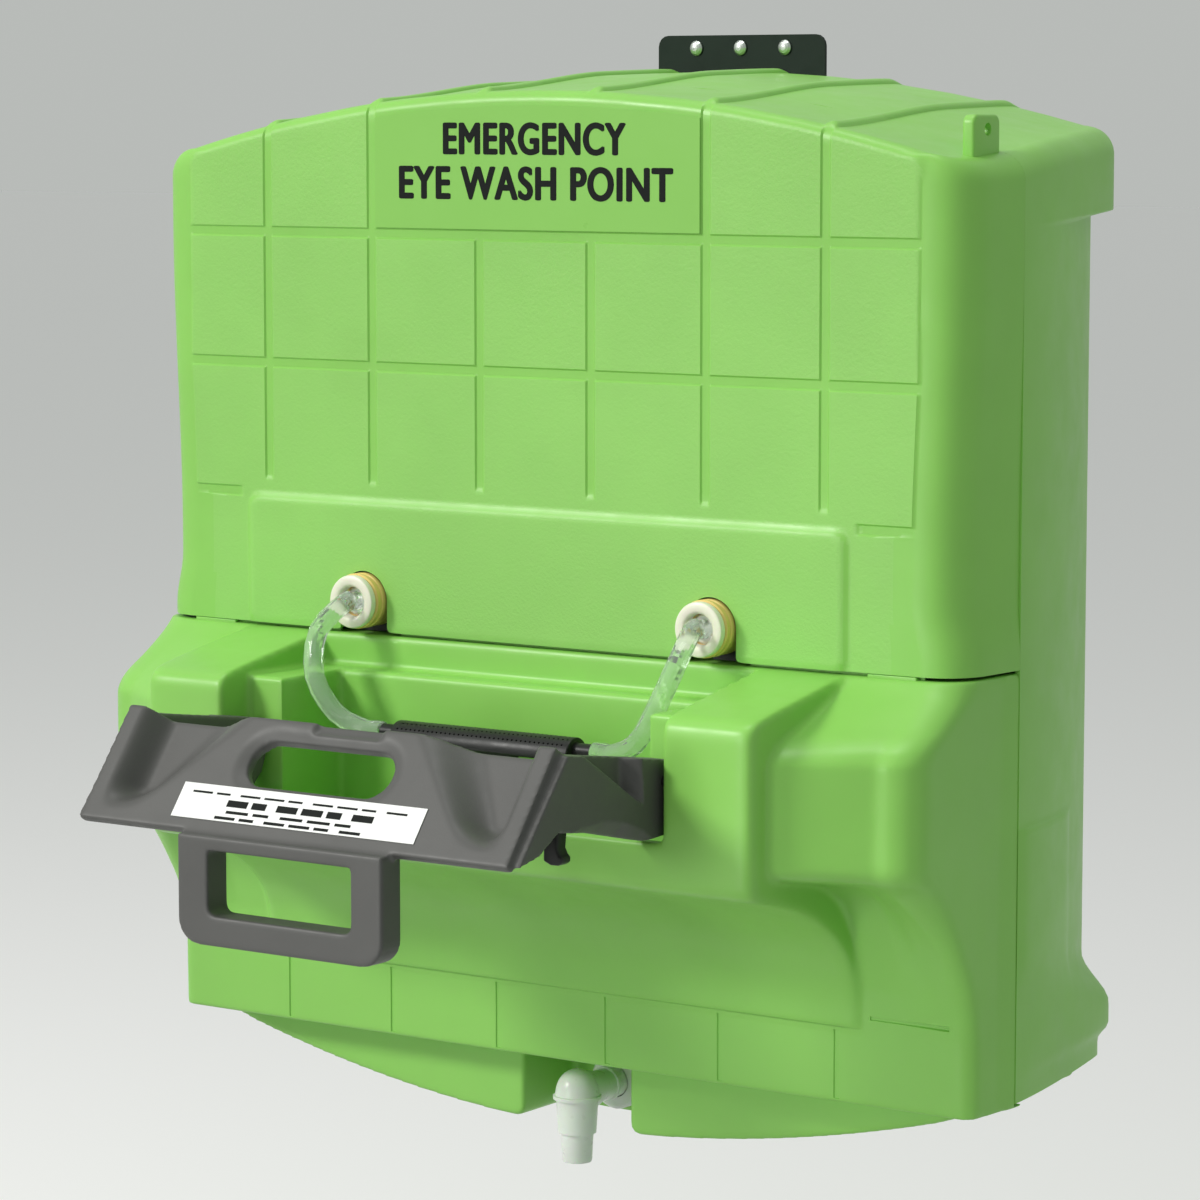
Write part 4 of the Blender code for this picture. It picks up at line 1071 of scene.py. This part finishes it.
def build_ports():
    """Cream screw caps on ridged yellow collars, one at each saline port."""
    for side, word in SIDES:
        centre = (side * PORT_X, 0.0, PORT_Z)
        collar = lathe("port_ring_" + word, [
            (0.2664, 0.0112), (0.2664, 0.0195), (0.2676, 0.0206), (0.2790, 0.0206), (0.2806, 0.0210),
            (0.2858, 0.0210), (0.2868, 0.0202), (0.2880, 0.0202), (0.2890, 0.0210), (0.2922, 0.0210),
            (0.2932, 0.0198), (0.2932, 0.0112)], centre, (0, -1, 0), "yellow", 96)
        keep(collar, "station", "yellow_plastic", "port_collar_" + word)
        cap = lathe("port_nut_" + word, [
            (0.2934, 0.0112), (0.2934, 0.0190), (0.2942, 0.0200), (0.2976, 0.0202), (0.2990, 0.0196),
            (0.2997, 0.0184), (0.2997, 0.0140), (0.2990, 0.0126), (0.2972, 0.0114)],
            centre, (0, -1, 0), "cream", 96)
        keep(cap, "station", "cream_plastic", "port_cap_" + word)


def build_barbs():
    """Hooked end of each activation strap, showing under the cheek."""
    ring = [(0.1685, -0.4930), (0.1800, -0.4930), (0.1790, -0.5045), (0.1810, -0.5085), (0.1832, -0.5105),
            (0.1830, -0.5140), (0.1800, -0.5158), (0.1740, -0.5160), (0.1680, -0.5135)]
    for side, word in SIDES:
        rings = [[(side * x, y, z) for x, z in ring] for y in (-0.5050, -0.4935)]
        barb = loft("strap_hook_" + word, rings, "black")
        keep(bevelled(barb, 0.0012, 3), "arm", "black_plastic", "strap_barb_" + word)


def build_nozzle():
    """Half-round spray bar with a perforated top."""
    ring = [(-0.3530, -0.4720), (-0.3270, -0.4720)]
    for k in range(33):
        a = math.radians(5.625 * k)
        ring.append((NOZZLE_Y + 0.0138 * math.cos(a), NOZZLE_Z + 0.0140 * math.sin(a)))
    bar = bevelled(extrude_x("spray_bar", ring, -0.080, 0.080, "black"), 0.0010, 3)
    holes = []
    for row in range(5):
        a = math.radians(42 + 24 * row)
        for k in range(38):
            x = -0.074 + 0.004 * k + 0.002 * (row % 2)
            holes.append(lathe("hole", [(0.0122, 0), (0.0122, 0.0008), (0.0160, 0.0008), (0.0160, 0)],
                               (x, NOZZLE_Y, NOZZLE_Z), (0, math.cos(a), math.sin(a)), "black", 8))
    combine(bar, join("holes", holes, "black"))
    for side in (-1, 1):
        combine(bar, lathe("spigot", [(0.0780, 0), (0.0780, 0.0058), (0.0945, 0.0058), (0.0945, 0)],
                           (0, NOZZLE_Y, -0.4655), (side, 0, 0), "black", 32), "UNION")
    keep(bar, "station", "black_plastic", "nozzle_bar")


def build_elbow():
    """Domed drain elbow with a collar and a stepped spout."""
    top = (0, DRAIN_Y, DRAIN_Z)
    profile = [(0.0188, 0)]
    for degrees in range(81, 0, -9):
        a = math.radians(degrees)
        profile.append((0.0188 * math.sin(a), 0.0166 * math.cos(a)))
    profile += [(-0.0010, 0.0170), (-0.0015, 0.0184), (-0.0040, 0.0184), (-0.0046, 0.0160), (-0.0300, 0.0146),
                (-0.0306, 0.0124), (-0.0510, 0.0114), (-0.0524, 0.0108), (-0.0524, 0)]
    elbow = lathe("drain_elbow_body", profile, top, (0, 0, 1), "milky", 64)
    inlet = [(0.0, 0), (0.0, 0.0140), (0.0180, 0.0140), (0.0186, 0.0122), (0.0360, 0.0122), (0.0365, 0.0135),
             (0.0390, 0.0135), (0.0395, 0.0118), (0.0645, 0.0118), (0.0645, 0)]
    combine(elbow, lathe("inlet", inlet, top, (0, 1, 0), "milky", 64), "UNION")
    combine(elbow, lathe("bore", [(-0.0560, 0), (-0.0560, 0.0085), (0.0045, 0.0085), (0.0045, 0)], top,
                         (0, 0, 1), "milky", 32))
    keep(elbow, "elbow", "milky_plastic", "drain_elbow", angle=30)


def build_label_lines():
    """Plain bars in place of the sticker's wording."""
    bars = []
    for u, half, thick, shift in ((0.0640, 0.096, 0.0008, 0.0), (0.0708, 0.066, 0.0026, 0.004),
                                  (0.0776, 0.060, 0.0011, 0.0), (0.0825, 0.066, 0.0011, -0.002)):
        words = max(3, round(half / 0.011))
        for k in range(words):
            x0 = shift - half + 2 * half * k / words
            x1 = shift - half + 2 * half * (k + 0.82 - 0.25 * ((k * 7) % 3 == 1)) / words
            corners = ((x0, u - thick), (x1, u - thick), (x1, u + thick), (x0, u + thick))
            lifts = (LABEL_LIFT, LABEL_LIFT + 0.0001)
            rings = [[arm_point(x, v, lift) for x, v in corners] for lift in lifts]
            bars.append(loft("bar", rings, "ink"))
    keep(join("label_bars", bars, "ink"), "arm", "black_plastic")


def dress_frame():
    """Materials of the frame's own nodes that are kept."""
    for node, mat in (("wall_bracket", "paint"), ("cartridge_shelf", "green"), ("nozzle_post", "black"),
                      ("drain_nut", "milky"), ("arm_label", "white"), ("bracket_screw_1", "steel"),
                      ("bracket_screw_2", "steel"), ("bracket_screw_3", "steel")):
        NODES[node].data.materials[0] = MATS[mat]
    for stem, mat in (("saline_cartridge", "milky"), ("hinge_pin", "black"), ("port_plug", "milky"),
                      ("port_clamp", "black"), ("supply_tube", "clear")):
        for _, word in SIDES:
            NODES[stem + "_" + word].data.materials[0] = MATS[mat]


build_camera()
build_floor()
build_world()
build_lights()
build_cover()
build_lug()
build_sign()
build_shell()
build_body()
build_arm()
build_ports()
build_barbs()
build_nozzle()
build_elbow()
build_label_lines()
dress_frame()
